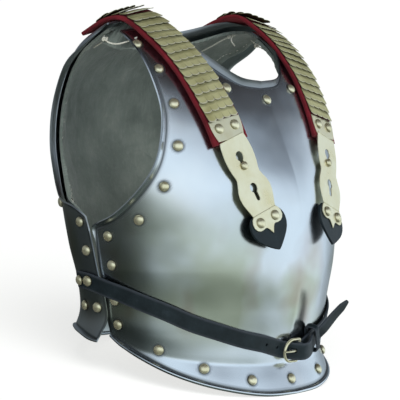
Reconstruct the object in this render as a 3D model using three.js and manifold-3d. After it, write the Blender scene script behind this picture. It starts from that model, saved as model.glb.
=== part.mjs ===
// A steel cuirass: breast plate and back plate with turned rims and brass rivets, canvas linings,
// two shoulder straps of brass scales on felt, and a leather waist belt with a buckle.
// Millimetres. The pieces are drawn in the wearer's frame: +X to the wearer's left, -Y to the front,
// +Z up the body, zero at the lowest point of the breast. The whole group then leans back until both
// lower rims stand on the floor, with its origin under the middle of its bounding box.
import * as THREE from 'three';
import { mergeVertices } from 'three/addons/utils/BufferGeometryUtils.js';
import Module from 'manifold-3d';

const wasm = await Module();
wasm.setup();

// ---------------------------------------------------------------- driving dimensions

const steelThickness = 1.5;
const liningGap = 2.4;
const backLiningGap = 5;
const liningThickness = 2;
const clearance = 0.35;
const beltLift = 1.8;

const waistRise = 34; // how much higher the crease above the breast's flange is at the sides
const shoulderSlope = 0.12;
const shoulderSlopeFrom = 100;

const leanBack = 10.83; // degrees, from the wearer's upright to the cuirass standing by itself
const footCut = 0.7; // how much the two lower rims are worn flat where they stand

const rivetRadius = 6;
const rivetHeight = 3.6;
const rivetSink = 1.1;
const rivetSides = 7;

const strapWidth = 55;
const feltThickness = 3;
const brassThickness = 1.2;
const endPlateTop = 27; // from the strap's lower front end
const endPlateFoot = 3; // where its upper crease lies
const endPlateTurn = 8.5; // degrees, the plates' ends lean towards the middle of the chest
const scaleThickness = 0.8;
const scaleWidth = 49;
const scaleLength = 17.5;
const scalePitch = 11.3;
const scaleCount = 18;
const scaleTilt = 6; // degrees
const scaleLobes = 4;
const scaleLobeDepth = 2;

const beltWidth = 20;
const beltThickness = 2.5;
const buckleWire = 1.7;
const buckleHalfHeight = 13;

// ---------------------------------------------------------------- tables

// Rows of a short table as objects with named columns.
function table(names, ...rows) {
  const keys = names.split(' ');
  return rows.map((row) => Object.fromEntries(keys.map((key, i) => [key, row[i]])));
}

// Horizontal sections of the torso: half width, y of the widest point, depth from there to the
// centre line, squareness (2 is an ellipse) and how far the centre ridge stands out.
const breastSections = table('height z half side depth square keel',
  [0, 0, 162, 0, 152, 2.4, 0],
  [20, 20, 161, 0, 144.3, 2.4, 0],
  [34, 34, 160.2, 0, 138.9, 2.4, 0.01],
  [40, 40, 160, 0, 137.7, 2.4, 0.015],
  [46, 46, 160.9, 0, 138.7, 2.4, 0.02],
  [60, 60, 164, 0, 141.4, 2.4, 0.04],
  [100, 100, 167, 0, 151, 2.4, 0.07],
  [150, 150, 173, 0, 160, 2.45, 0.08],
  [190, 190, 178, 0, 160, 2.5, 0.08],
  [240, 240, 184, 0, 153, 2.6, 0.06],
  [290, 290, 183, 0, 134, 2.7, 0.03],
  [333, 333, 177, 0, 114, 2.7, 0.01],
  [375, 375, 171, 0, 86, 2.7, 0],
  [405, 405, 165, 0, 56, 2.6, 0],
  [425, 422, 159, 0, 30, 2.5, 0],
  [435, 429, 157, 0, 15, 2.4, 0]);

const backSections = table('height z half side depth square keel',
  [48, 48, 171, 4, 116, 2.1, 0],
  [66, 66, 173, 4, 110, 2.1, 0],
  [80, 80, 172.3, 4, 102, 2.1, 0],
  [95, 95, 171, 4, 92, 2.1, 0],
  [130, 130, 175, 4, 88, 2.1, 0],
  [180, 180, 182, 4, 104, 2.15, 0],
  [240, 240, 187, 4, 118, 2.2, 0],
  [300, 300, 185, 4, 134, 2.2, 0],
  [350, 350, 178, 4, 130, 2.2, 0],
  [390, 390, 169, 2, 111, 2.3, 0],
  [415, 413, 164, 0, 87, 2.4, 0],
  [435, 427, 160, -2, 60, 2.4, 0],
  [455, 436, 158, -5, 32, 2.4, 0],
  [474, 437, 157, -11, 8, 2.4, 0]);

// Edges of each plate's left half, as angle from the centre line (degrees) and height.
// "at" runs from 0 to 1 along each edge.
const breastEdges = {
  bottom: table('at angle height',
    [0, 0, 8], [0.2, 18, 10.5], [0.4, 36, 20], [0.6, 53, 35], [0.8, 71, 56.5], [1, 87, 76]),
  side: table('at angle height',
    [0, 87, 76], [0.35, 87.4, 112], [0.7, 89.2, 155], [1, 90, 197]),
  armhole: table('at angle height',
    [0, 90, 197], [0.12, 79, 207], [0.26, 67, 231], [0.42, 56.4, 267], [0.58, 51.6, 310],
    [0.74, 51.2, 353], [0.87, 54.4, 398], [1, 62, 430]),
  neck: table('at angle height',
    [0, 0, 356], [0.22, 11.5, 360], [0.42, 18.5, 371], [0.6, 24, 385], [0.78, 28.5, 399],
    [1, 35, 432]),
  sideShare: 1 / 3,
  neckShare: 0.7,
};

const backEdges = {
  bottom: table('at angle height',
    [0, 0, 60], [0.18, 14, 62], [0.4, 33, 75], [0.6, 52, 84], [0.8, 72, 81], [1, 90, 71]),
  side: table('at angle height',
    [0, 90, 71], [0.1, 92.5, 79], [0.2, 96.5, 92], [0.34, 96.5, 112], [0.55, 92.6, 144],
    [0.78, 89.7, 178], [1, 86.5, 209]),
  armhole: table('at angle height',
    [0, 86.5, 209], [0.08, 79, 217], [0.17, 67, 224], [0.27, 60, 240], [0.4, 55, 272],
    [0.55, 53.5, 312], [0.7, 54.6, 352], [0.83, 60, 391], [0.92, 70, 418], [1, 76, 456]),
  neck: table('at angle height',
    [0, 0, 418], [0.3, 17, 422], [0.6, 29, 434], [1, 44, 471]),
  sideShare: 1 / 3,
  neckShare: 0.7,
};

const breast = { sections: breastSections, edges: breastEdges, facing: -1, rise: waistRise };
const back = { sections: backSections, edges: backEdges, facing: 1, rise: 0 };

// Steps of the turned rims, outwards past the edge and up from the surface.
const plainRim = table('out up', [0.6, 0], [1.2, 0], [1.8, 0]);
const turnedRim = table('out up', [2.2, 1], [4.4, 3.2], [5.4, 6]);
const rolledRim = table('out up', [1.6, 1.4], [4.2, 2.4], [6.4, 0.8]);

const breastRivets = table('angle height',
  [23.2, 24], [43.3, 40], [62, 61], [81.6, 88], [82.8, 116], [82.7, 156], [83.4, 189],
  [67.4, 208.5], [55.6, 246], [48, 291], [46.7, 338], [48.7, 377], [54.9, 408], [20.5, 356]);
const backRivets = table('angle height', [75.4, 108], [90, 107], [85.3, 172], [81.9, 204.5], [55.3, 224.5]);

// Middle of a shoulder strap's underside. Rows with a lift lie on the breast plate, and "sideY" and
// "sideZ" lean the strap's outer edge.
const strapOnBreast = table('x z lift', [91.5, 294, 3], [95, 318, 3.2], [99.5, 343, 3.2],
  [103.5, 368, 3.4], [107, 391, 3.8], [110, 409, 4.6]);
const strapOverShoulder = table('x y z', [112, -17, 432.5], [113, -1, 440]);
const strapOnBack = table('x height lift', [113, 457, 4.8], [113, 446, 4], [112, 435, 3.6], [112, 427, 3.4]);
const strapSide = { frontY: 0.13, backY: -0.14, z: -0.2 };

// Middle of the belt, on the back plate and then on the breast plate, down to the buckle.
const beltOnBack = table('angle height lift', [72, 138.5, beltLift], [79, 138, beltLift], [86, 136.8, beltLift]);
const beltOnBreast = table('angle height lift', [84, 129.5, 4.6], [77, 123.5, 2.6], [69, 116, 2],
  [58, 105, 2], [47.6, 92.5, 2], [37, 82, 2], [26, 71.5, 2.4], [15, 63.5, 2.6]);
const beltThroughBuckle = table('x z lift', [-25, 58, 2.2], [-17, 56, 2.2], [-10.5, 55, 3.6],
  [-3, 54.5, 10.5], [5, 54.5, 16], [12, 55.2, 17], [20, 57, 15.6], [29, 61, 12], [37, 65.5, 9.6]);
const beltFreeEnd = table('x y z', [49, -155, 75.5], [61, -161.5, 90], [74, -172, 107]);
const buckleLift = 9;

// ---------------------------------------------------------------- small mathematics

const radians = THREE.MathUtils.degToRad;

// Smooth interpolation of one column of a table, through every row.
function smooth(rows, key, column, at) {
  const last = rows.length - 1;
  const t = THREE.MathUtils.clamp(at, rows[0][key], rows[last][key]);
  let i = 0;
  while (i < last - 1 && t > rows[i + 1][key]) i += 1;
  const chord = (j) => (rows[j + 1][column] - rows[j][column]) / (rows[j + 1][key] - rows[j][key]);
  const slope = (j) => {
    if (j === 0) return chord(0);
    if (j === last) return chord(last - 1);
    const before = rows[j][key] - rows[j - 1][key];
    const after = rows[j + 1][key] - rows[j][key];
    return (chord(j - 1) * after + chord(j) * before) / (before + after);
  };
  const span = rows[i + 1][key] - rows[i][key];
  const s = (t - rows[i][key]) / span;
  return (2 * s ** 3 - 3 * s ** 2 + 1) * rows[i][column]
    + (s ** 3 - 2 * s ** 2 + s) * slope(i) * span
    + (3 * s ** 2 - 2 * s ** 3) * rows[i + 1][column]
    + (s ** 3 - s ** 2) * slope(i + 1) * span;
}

// ---------------------------------------------------------------- surface of a plate

// One section of a plate at a height, with the crease rising towards the sides.
function section(plate, angle, height) {
  const fade = THREE.MathUtils.clamp((150 - height) / 70, 0, 1);
  const lookup = height - plate.rise * (angle / 90) ** 2 * fade;
  const at = (column, where) => smooth(plate.sections, 'height', column, where);
  return {
    half: at('half', lookup), side: at('side', lookup), depth: at('depth', lookup),
    square: at('square', lookup), keel: at('keel', lookup),
    z: at('z', height) + Math.min(0, height - plate.sections[0].height),
  };
}

// Point of a plate's outer face at an angle from the centre line (degrees) and a height.
function platePoint(plate, angle, height) {
  const s = section(plate, angle, height);
  const sine = Math.sin(radians(angle));
  const cosine = Math.cos(radians(angle));
  const r = (Math.abs(sine) ** s.square + Math.abs(cosine) ** s.square) ** (-1 / s.square);
  const ridge = Math.max(0, 1 - Math.abs(angle) / 60) ** 2;
  const keel = (1 + s.keel * ridge) / (1 + s.keel);
  const x = s.half * r * sine;
  const top = THREE.MathUtils.clamp((height - 380) / 60, 0, 1);
  const drop = shoulderSlope * Math.max(0, Math.abs(x) - shoulderSlopeFrom) * top;
  return new THREE.Vector3(x, s.side + plate.facing * s.depth * r * cosine * keel, s.z - drop);
}

function plateNormal(plate, angle, height) {
  const step = 0.5;
  const across = platePoint(plate, angle + step, height).sub(platePoint(plate, angle - step, height));
  const up = platePoint(plate, angle, height + step).sub(platePoint(plate, angle, height - step));
  return across.cross(up).multiplyScalar(-plate.facing).normalize();
}

// Angle at which a plate's surface has a given x.
function angleAtX(plate, x, height) {
  let low = -89;
  let high = 89;
  for (let i = 0; i < 30; i += 1) {
    const middle = (low + high) / 2;
    if (platePoint(plate, middle, height).x < x) low = middle;
    else high = middle;
  }
  return low;
}

function onPlate(plate, angle, height, lift) {
  return platePoint(plate, angle, height).addScaledVector(plateNormal(plate, angle, height), lift);
}

function onPlateAtX(plate, x, height, lift) {
  return onPlate(plate, angleAtX(plate, x, height), height, lift);
}

// Angle and height at u (0 centre line, 1 outer edge) and v (0 bottom, 1 top) of a half plate.
function patch(edges, u, v) {
  const read = (rows, at) => ({
    angle: smooth(rows, 'at', 'angle', at), height: smooth(rows, 'at', 'height', at),
  });
  const bottom = (at) => read(edges.bottom, at);
  const side = (at) => (at <= edges.sideShare
    ? read(edges.side, at / edges.sideShare)
    : read(edges.armhole, (at - edges.sideShare) / (1 - edges.sideShare)));
  const neckEnd = edges.neck[edges.neck.length - 1];
  const shoulderEnd = edges.armhole[edges.armhole.length - 1];
  const top = (at) => {
    if (at <= edges.neckShare) return read(edges.neck, at / edges.neckShare);
    const part = (at - edges.neckShare) / (1 - edges.neckShare);
    return {
      angle: THREE.MathUtils.lerp(neckEnd.angle, shoulderEnd.angle, part),
      height: THREE.MathUtils.lerp(neckEnd.height, shoulderEnd.height, part),
    };
  };
  const centre = (at) => ({
    angle: 0,
    height: THREE.MathUtils.lerp(edges.bottom[0].height, edges.neck[0].height, at),
  });
  const blend = (column) => (1 - v) * bottom(u)[column] + v * top(u)[column]
    + (1 - u) * centre(v)[column] + u * side(v)[column]
    - (1 - u) * (1 - v) * bottom(0)[column] - u * (1 - v) * bottom(1)[column]
    - (1 - u) * v * top(0)[column] - u * v * top(1)[column];
  return { angle: blend('angle'), height: blend('height') };
}

// ---------------------------------------------------------------- meshes

function geometryFrom(points, faces) {
  const geometry = new THREE.BufferGeometry();
  geometry.setAttribute('position', new THREE.Float32BufferAttribute(points.flatMap((p) => p.toArray()), 3));
  geometry.setIndex(faces.flat());
  return geometry;
}

function shapeFrom(points) {
  return new THREE.Shape(points.map(([x, y]) => new THREE.Vector2(x, y)));
}

// Two triangles for a quad whose corners run anticlockwise from outside.
function quad(a, b, c, d) {
  return [[a, b, c], [a, c, d]];
}

function toSolid(geometry) {
  const bare = geometry.clone();
  bare.deleteAttribute('normal');
  bare.deleteAttribute('uv');
  const merged = mergeVertices(bare, 1e-4);
  return new wasm.Manifold(new wasm.Mesh({
    numProp: 3,
    vertProperties: new Float32Array(merged.attributes.position.array),
    triVerts: new Uint32Array(merged.index.array),
  }));
}

function toGeometry(solid) {
  const mesh = solid.getMesh();
  const geometry = new THREE.BufferGeometry();
  geometry.setAttribute('position', new THREE.BufferAttribute(new Float32Array(mesh.vertProperties), 3));
  geometry.setIndex(new THREE.BufferAttribute(new Uint32Array(mesh.triVerts), 1));
  return geometry;
}

function join(geometries) {
  return toGeometry(geometries.map(toSolid).reduce((whole, next) => whole.add(next)));
}

function cut(geometry, tools) {
  return toGeometry(tools.map(toSolid).reduce((whole, tool) => whole.subtract(tool), toSolid(geometry)));
}

// Turns a geometry's +Z to a direction, its +X as near as it can to another, and moves it to a place.
function place(geometry, position, zAxis, xHint = new THREE.Vector3(1, 0, 0)) {
  const z = zAxis.clone().normalize();
  const y = z.clone().cross(xHint).normalize();
  const x = y.clone().cross(z);
  const matrix = new THREE.Matrix4().makeBasis(x, y, z).setPosition(position);
  return geometry.applyMatrix4(matrix);
}

// Which rim, and how much of it, follows the edge at a grid place.
function rimAt(edges, column, row, columns, rows) {
  const sideRows = Math.round(edges.sideShare * rows);
  const neckColumns = Math.round(edges.neckShare * columns);
  const fade = (distance) => THREE.MathUtils.clamp(distance / 2, 0, 1);
  if (row === 0) return { profile: rolledRim, weight: fade(columns - Math.abs(column) + 1) };
  if (row === rows) return { profile: turnedRim, weight: fade(neckColumns - Math.abs(column)) };
  return { profile: turnedRim, weight: Math.min(fade(row - sideRows + 1), fade(rows - row + 1)) };
}

// Closed shell of a plate: two skins of a grid, with a rim of bent steps round its edge.
// "reach" gives the part of the plate covered, at each v, as the largest u.
function plateShell(plate, { columns, rows, inside = 0, thickness, rimmed, reach, bottom = 0, top = 1 }) {
  const points = [];
  const faces = [];
  const grid = [];
  const width = 2 * columns + 1;
  for (let row = 0; row <= rows; row += 1) {
    for (let column = -columns; column <= columns; column += 1) {
      const v = THREE.MathUtils.lerp(bottom, top, row / rows);
      const uv = patch(plate.edges, Math.abs(column) / columns * reach(v), v);
      const angle = uv.angle * Math.sign(column);
      const normal = plateNormal(plate, angle, uv.height);
      const outer = onPlate(plate, angle, uv.height, -inside);
      grid.push({ normal, outer, column, row });
    }
  }
  grid.forEach((g) => points.push(g.outer));
  grid.forEach((g) => points.push(g.outer.clone().addScaledVector(g.normal, -thickness)));
  const size = grid.length;
  const flip = (list) => (plate.facing < 0 ? list : list.map(([a, b, c]) => [a, c, b]));
  for (let row = 0; row < rows; row += 1) {
    for (let i = 0; i < width - 1; i += 1) {
      const a = row * width + i;
      const [b, c, d] = [a + 1, a + 1 + width, a + width];
      faces.push(...flip(quad(a, b, c, d)), ...flip(quad(a + size, d + size, c + size, b + size)));
    }
  }
  const loop = [];
  for (let i = 0; i < width - 1; i += 1) loop.push(i);
  for (let row = 0; row < rows; row += 1) loop.push(row * width + width - 1);
  for (let i = width - 1; i > 0; i -= 1) loop.push(rows * width + i);
  for (let row = rows; row > 0; row -= 1) loop.push(row * width);
  const count = loop.length;
  let outerRing = loop;
  let innerRing = loop.map((i) => i + size);
  for (let step = 0; rimmed && step < plainRim.length; step += 1) {
    const start = points.length;
    const inward = [];
    loop.forEach((id, i) => {
      const here = grid[id];
      const along = grid[loop[(i + 1) % count]].outer.clone().sub(grid[loop[(i + count - 1) % count]].outer);
      const outward = along.cross(here.normal).multiplyScalar(-plate.facing).normalize();
      const rim = rimAt(plate.edges, here.column, here.row, columns, rows);
      const read = (k, axis) => (k < 0 ? 0
        : THREE.MathUtils.lerp(plainRim[k][axis], rim.profile[k][axis], rim.weight));
      const next = Math.min(step + 1, plainRim.length - 1);
      const bend = new THREE.Vector2(read(next, 'out') - read(step - 1, 'out'),
        read(next, 'up') - read(step - 1, 'up')).normalize();
      const at = (out, up) => here.outer.clone().addScaledVector(outward, out).addScaledVector(here.normal, up);
      points.push(at(read(step, 'out'), read(step, 'up')));
      inward.push(at(read(step, 'out') + bend.y * thickness, read(step, 'up') - bend.x * thickness));
    });
    points.push(...inward);
    const outerNext = loop.map((_, i) => start + i);
    const innerNext = loop.map((_, i) => start + count + i);
    for (let i = 0; i < count; i += 1) {
      const j = (i + 1) % count;
      faces.push(...flip(quad(outerNext[i], outerNext[j], outerRing[j], outerRing[i])));
      faces.push(...flip(quad(innerRing[i], innerRing[j], innerNext[j], innerNext[i])));
    }
    outerRing = outerNext;
    innerRing = innerNext;
  }
  for (let i = 0; i < count; i += 1) {
    const j = (i + 1) % count;
    faces.push(...flip(quad(innerRing[i], innerRing[j], outerRing[j], outerRing[i])));
  }
  return geometryFrom(points, faces);
}

// A low dome with a short shank below it, its seat at z = 0.
function dome(radius, height, sink) {
  const profile = [
    new THREE.Vector2(0, -sink), new THREE.Vector2(radius, -sink),
    new THREE.Vector2(radius * 0.8, height * 0.6), new THREE.Vector2(0, height),
  ];
  return new THREE.LatheGeometry(profile, rivetSides).rotateX(Math.PI / 2);
}

function rivetOn(plate, angle, height) {
  const normal = plateNormal(plate, angle, height);
  return place(dome(rivetRadius, rivetHeight, rivetSink), platePoint(plate, angle, height), normal,
    new THREE.Vector3(0, 0, 1));
}

function rivetsOn(plate, rows, centreHeights) {
  const pairs = rows.flatMap((row) => [-1, 1].map((side) => rivetOn(plate, side * row.angle, row.height)));
  const middle = centreHeights.map((height) => rivetOn(plate, 0, height));
  return [...pairs, ...middle];
}

// Everything below the floor on which both lower rims stand.
function belowFloor(lowest) {
  const block = new THREE.BoxGeometry(600, 600, 100);
  block.translate(0, 0, -50 + footCut);
  const lean = new THREE.Matrix4().makeRotationX(radians(leanBack));
  return block.applyMatrix4(lean).applyMatrix4(new THREE.Matrix4().makeTranslation(0, lowest.y, lowest.z));
}

// Lowest point of a geometry once it leans back.
function lowestPoint(geometry) {
  const lean = new THREE.Matrix4().makeRotationX(radians(-leanBack));
  const position = geometry.attributes.position;
  let lowest = null;
  let height = Infinity;
  for (let i = 0; i < position.count; i += 1) {
    const point = new THREE.Vector3().fromBufferAttribute(position, i);
    const z = point.clone().applyMatrix4(lean).z;
    if (z < height) {
      height = z;
      lowest = point;
    }
  }
  return { point: lowest, height };
}

// Band swept along stations, each with a position, a direction across it and a normal.
function sweep(stations, widthAt, thickness) {
  const points = [];
  const faces = [];
  stations.forEach((s, i) => {
    const half = widthAt(i / (stations.length - 1)) / 2;
    const low = s.position;
    const high = s.position.clone().addScaledVector(s.normal, thickness);
    points.push(low.clone().addScaledVector(s.across, -half), low.clone().addScaledVector(s.across, half),
      high.clone().addScaledVector(s.across, half), high.clone().addScaledVector(s.across, -half));
  });
  for (let i = 0; i < stations.length - 1; i += 1) {
    for (let k = 0; k < 4; k += 1) {
      const a = i * 4 + k;
      const b = i * 4 + ((k + 1) % 4);
      faces.push(...quad(a, b, b + 4, a + 4));
    }
  }
  const end = (stations.length - 1) * 4;
  faces.push(...quad(3, 2, 1, 0), ...quad(end, end + 1, end + 2, end + 3));
  return geometryFrom(points, faces);
}

// Stations along a curve. "acrossAt" hints the direction across the band.
function stationsAlong(curve, count, acrossAt) {
  const stations = [];
  for (let i = 0; i <= count; i += 1) {
    const t = i / count;
    const position = curve.getPointAt(t);
    const tangent = curve.getTangentAt(t);
    const hint = acrossAt(t);
    const across = hint.clone().addScaledVector(tangent, -hint.dot(tangent)).normalize();
    const normal = tangent.clone().cross(across).normalize();
    stations.push({ position, tangent, across, normal });
  }
  return stations;
}

function tubeRing(centres, radius, sides) {
  const points = [];
  const faces = [];
  const count = centres.length;
  const middle = centres.reduce((sum, c) => sum.add(c), new THREE.Vector3()).divideScalar(count);
  const axis = centres[0].clone().sub(middle).cross(centres[1].clone().sub(middle)).normalize();
  centres.forEach((centre, i) => {
    const along = centres[(i + 1) % count].clone().sub(centres[(i + count - 1) % count]).normalize();
    const outward = along.clone().cross(axis).normalize();
    for (let k = 0; k < sides; k += 1) {
      const turn = k / sides * Math.PI * 2;
      points.push(centre.clone().addScaledVector(outward, Math.cos(turn) * radius)
        .addScaledVector(axis, Math.sin(turn) * radius));
    }
  });
  for (let i = 0; i < count; i += 1) {
    for (let k = 0; k < sides; k += 1) {
      const next = (i + 1) % count;
      faces.push(...quad(i * sides + k, i * sides + (k + 1) % sides, next * sides + (k + 1) % sides, next * sides + k));
    }
  }
  return geometryFrom(points, faces.map(([a, b, c]) => [a, c, b]));
}

// ---------------------------------------------------------------- materials

const finish = {
  steel: { color: 0xb9c2cc, roughness: 0.25, metalness: 1 },
  brass: { color: 0xcfc593, roughness: 0.35, metalness: 1 },
  scaleBrass: { color: 0xa89a63, roughness: 0.4, metalness: 1 },
  felt: { color: 0x7a1620, roughness: 0.95, metalness: 0 },
  leather: { color: 0x23262c, roughness: 0.6, metalness: 0 },
  canvas: { color: 0x8b948c, roughness: 0.9, metalness: 0 },
};

function piece(name, geometry, look) {
  const shape = mergeVertices(geometry, 1e-4);
  shape.computeVertexNormals();
  const mesh = new THREE.Mesh(shape, new THREE.MeshStandardMaterial(finish[look]));
  mesh.name = name;
  return mesh;
}

// ---------------------------------------------------------------- plates and linings

function breastplateGeometry() {
  const shell = plateShell(breast, {
    columns: 9, rows: 16, thickness: steelThickness, rimmed: true, reach: () => 1,
  });
  return join([shell, ...rivetsOn(breast, breastRivets, [20, 343])]);
}

function backplateGeometry() {
  const shell = plateShell(back, {
    columns: 10, rows: 13, thickness: steelThickness, rimmed: true, reach: () => 1,
  });
  return join([shell, ...rivetsOn(back, backRivets, [])]);
}

function breastLining() {
  return plateShell(breast, {
    columns: 6, rows: 12, inside: steelThickness + liningGap, thickness: liningThickness, rimmed: false,
    reach: (v) => (v < 0.3 ? 1.035 : 0.965), bottom: 0.05, top: 0.975,
  });
}

function backLining() {
  return plateShell(back, {
    columns: 8, rows: 15, inside: steelThickness + backLiningGap, thickness: liningThickness, rimmed: false,
    reach: () => 0.92, bottom: 0.09, top: 0.955,
  });
}

// ---------------------------------------------------------------- shoulder straps

function mirrored(point, side) {
  return new THREE.Vector3(point.x * side, point.y, point.z);
}

// The strap's underside from its lower front end, over the shoulder, to the back plate.
function strapCurve(side) {
  const front = strapOnBreast.map((row) => onPlateAtX(breast, row.x, row.z, row.lift));
  const over = strapOverShoulder.map((row) => new THREE.Vector3(row.x, row.y, row.z));
  const rear = strapOnBack.map((row) => onPlateAtX(back, row.x, row.height, row.lift));
  return new THREE.CatmullRomCurve3([...front, ...over, ...rear].map((p) => mirrored(p, side)), false,
    'centripetal');
}

// Direction across a strap, towards the wearer's left.
function strapAcross(side, t) {
  const lean = THREE.MathUtils.lerp(strapSide.frontY, strapSide.backY, t);
  return new THREE.Vector3(1, lean * side, strapSide.z * side);
}

function feltGeometry(side) {
  const stations = stationsAlong(strapCurve(side), 20, (t) => strapAcross(side, t).negate());
  return sweep(stations, () => strapWidth, feltThickness);
}

// Flat outline of one scale in its own plane: x across, y down the strap.
function scaleOutline() {
  const half = scaleWidth / 2;
  const lobe = scaleWidth / scaleLobes;
  const points = [[-half + 3, 0], [half - 3, 0], [half, 4], [half, scaleLength - scaleLobeDepth]];
  for (let i = 0; i < scaleLobes; i += 1) {
    const x = half - i * lobe;
    points.push([x - lobe * 0.5, scaleLength], [x - lobe, scaleLength - scaleLobeDepth]);
  }
  points.push([-half, 4]);
  return shapeFrom(points);
}

// Frame of the strap at a distance from its lower front end.
function strapFrame(side, distance) {
  const curve = strapCurve(side);
  const t = distance / curve.getLength();
  const tangent = curve.getTangentAt(t);
  const hint = strapAcross(side, t);
  const across = hint.addScaledVector(tangent, -hint.dot(tangent)).normalize();
  const normal = across.clone().cross(tangent).normalize();
  return { position: curve.getPointAt(t), tangent, across, normal };
}

function scaleGeometry(side, index) {
  const rootDistance = endPlateTop - 1.5 + scaleLength + index * scalePitch;
  const frame = strapFrame(side, rootDistance);
  const tilt = new THREE.Quaternion().setFromAxisAngle(frame.across, radians(-scaleTilt));
  const down = frame.tangent.clone().negate().applyQuaternion(tilt);
  const normal = frame.normal.clone().applyQuaternion(tilt);
  const rise = feltThickness + 0.9;
  const matrix = new THREE.Matrix4().makeBasis(frame.across.clone().negate(), down, normal)
    .setPosition(frame.position.clone().addScaledVector(frame.normal, rise));
  const plate = new THREE.ExtrudeGeometry(scaleOutline(), { depth: scaleThickness, bevelEnabled: false });
  if (index < scaleCount - 1) return plate.applyMatrix4(matrix);
  const rivets = [-1, 1].map((hand) => dome(4, 2.4, 0.4).translate(hand * 13, 5, scaleThickness));
  return join([plate, ...rivets]).applyMatrix4(matrix);
}

// Frame of the flat end plate: its origin at the upper crease, y up the strap, z away from the chest.
function endPlateFrame(side) {
  const upper = strapFrame(side, endPlateFoot);
  const normal = new THREE.Vector3(0.17 * side, -0.91, 0.24).normalize();
  const across = upper.across.clone().addScaledVector(normal, -upper.across.dot(normal)).normalize()
    .applyAxisAngle(normal, radians(-endPlateTurn * side));
  const up = normal.clone().cross(across);
  const lift = feltThickness + 0.5;
  return { origin: upper.position.clone().addScaledVector(upper.normal, lift), across, up, normal };
}

// Rounded keyhole: a round opening with a narrower slot below it.
function keyhole(centreY) {
  const turns = 10;
  const points = [];
  for (let i = 0; i <= turns; i += 1) {
    const turn = radians(-60 + i * 300 / turns);
    points.push([Math.cos(turn) * 5.6, centreY + Math.sin(turn) * 5.6]);
  }
  points.push([-2.8, centreY - 13], [0, centreY - 15.5], [2.8, centreY - 13]);
  return shapeFrom(points);
}

// Body of the end plate below the crease: two lobes, a waist, and the ornate foot.
function endPlateBody() {
  const outline = table('half y', [20.3, 0], [22.3, -10], [23.2, -21], [22.2, -33], [19, -45], [22.5, -53],
    [26.4, -64], [25, -75], [21.5, -84], [19, -90.5], [23.5, -95], [24.5, -101], [20.5, -107],
    [13, -109.5], [6, -109], [3, -113]);
  const shape = shapeFrom([...outline.map((row) => [-row.half, row.y]), [0, -117],
    ...outline.reverse().map((row) => [row.half, row.y])]);
  shape.holes.push(keyhole(-22), keyhole(-61));
  return new THREE.ExtrudeGeometry(shape, { depth: brassThickness, bevelEnabled: false });
}

function endPlateGeometry(side) {
  const frame = endPlateFrame(side);
  const body = endPlateBody();
  const rivets = [-1, 1].map((hand) => dome(rivetRadius, rivetHeight, brassThickness / 2)
    .translate(hand * 12.8, -100, brassThickness));
  const flat = new THREE.Matrix4().makeBasis(frame.across, frame.up, frame.normal).setPosition(frame.origin);
  const upper = strapFrame(side, 14);
  const upperUp = strapFrame(side, 20).position.sub(strapFrame(side, 2).position).normalize();
  const upperNormal = upper.across.clone().cross(upperUp).normalize();
  const bent = new THREE.Matrix4().makeBasis(upper.across, upperUp, upperNormal).setPosition(frame.origin);
  const reach = endPlateTop - endPlateFoot;
  const topShape = shapeFrom([[-20.3, -0.6], [20.3, -0.6], [23.2, 9], [24.6, reach], [-24.6, reach], [-23.2, 9]]);
  const topPlate = new THREE.ExtrudeGeometry(topShape, { depth: brassThickness, bevelEnabled: false });
  const topRivets = [-1, 1].map((hand) => dome(rivetRadius, rivetHeight, brassThickness / 2)
    .translate(hand * 12.8, 14, brassThickness));
  const lower = [body, ...rivets].map((g) => g.applyMatrix4(flat));
  const topParts = [topPlate, ...topRivets].map((g) => g.applyMatrix4(bent));
  return join([...lower, ...topParts]);
}

// Pointed leather end of the strap, behind the plate's foot.
function strapTipGeometry(side) {
  const frame = endPlateFrame(side);
  const outline = table('half y', [20.5, -91], [27, -98], [29, -105], [27.5, -114.5], [19, -124.5]);
  const shape = shapeFrom([...outline.map((row) => [-row.half, row.y]), [0, -137],
    ...outline.reverse().map((row) => [row.half, row.y])]);
  const leather = new THREE.ExtrudeGeometry(shape, { depth: feltThickness, bevelEnabled: false });
  const matrix = new THREE.Matrix4().makeBasis(frame.across, frame.up, frame.normal)
    .setPosition(frame.origin.clone().addScaledVector(frame.normal, -feltThickness - clearance));
  return leather.applyMatrix4(matrix);
}

// Button riveted to the chest, its head over the plate's slot.
function studGeometry(side) {
  const frame = endPlateFrame(side);
  const seat = frame.origin.clone().addScaledVector(frame.up, -22 - 12);
  const toChest = (point) => {
    const angle = angleAtX(breast, point.x, point.z);
    return point.clone().sub(platePoint(breast, angle, point.z)).dot(frame.normal);
  };
  const gap = toChest(seat) - clearance;
  const profile = [[0, -gap], [4, -gap], [4, -gap + 1], [2.2, -gap + 1.5], [2.2, brassThickness + clearance],
    [5, brassThickness + clearance], [4.2, brassThickness + 2.8], [0, brassThickness + 4]];
  const lathe = new THREE.LatheGeometry(profile.map(([r, z]) => new THREE.Vector2(r, z)), rivetSides);
  return place(lathe.rotateX(Math.PI / 2), seat, frame.normal, frame.across);
}

// ---------------------------------------------------------------- waist belt

function beltCurve(rows) {
  return new THREE.CatmullRomCurve3(rows, false, 'centripetal');
}

// Points of the belt from the back plate to near the buckle, on one side.
function beltFromSide(side) {
  const start = beltOnBack.map((row) => onPlate(back, side * row.angle, row.height, row.lift));
  const front = beltOnBreast.map((row) => onPlate(breast, side * row.angle, row.height, row.lift));
  return [...start, ...front];
}

// Direction across the belt at a point: up the surface of the torso.
function beltAcross(curve, t) {
  const tangent = curve.getTangentAt(t);
  const point = curve.getPointAt(t);
  const radial = new THREE.Vector3(point.x / 170 ** 2, point.y / 150 ** 2, -0.0011).normalize();
  return radial.cross(tangent);
}

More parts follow.
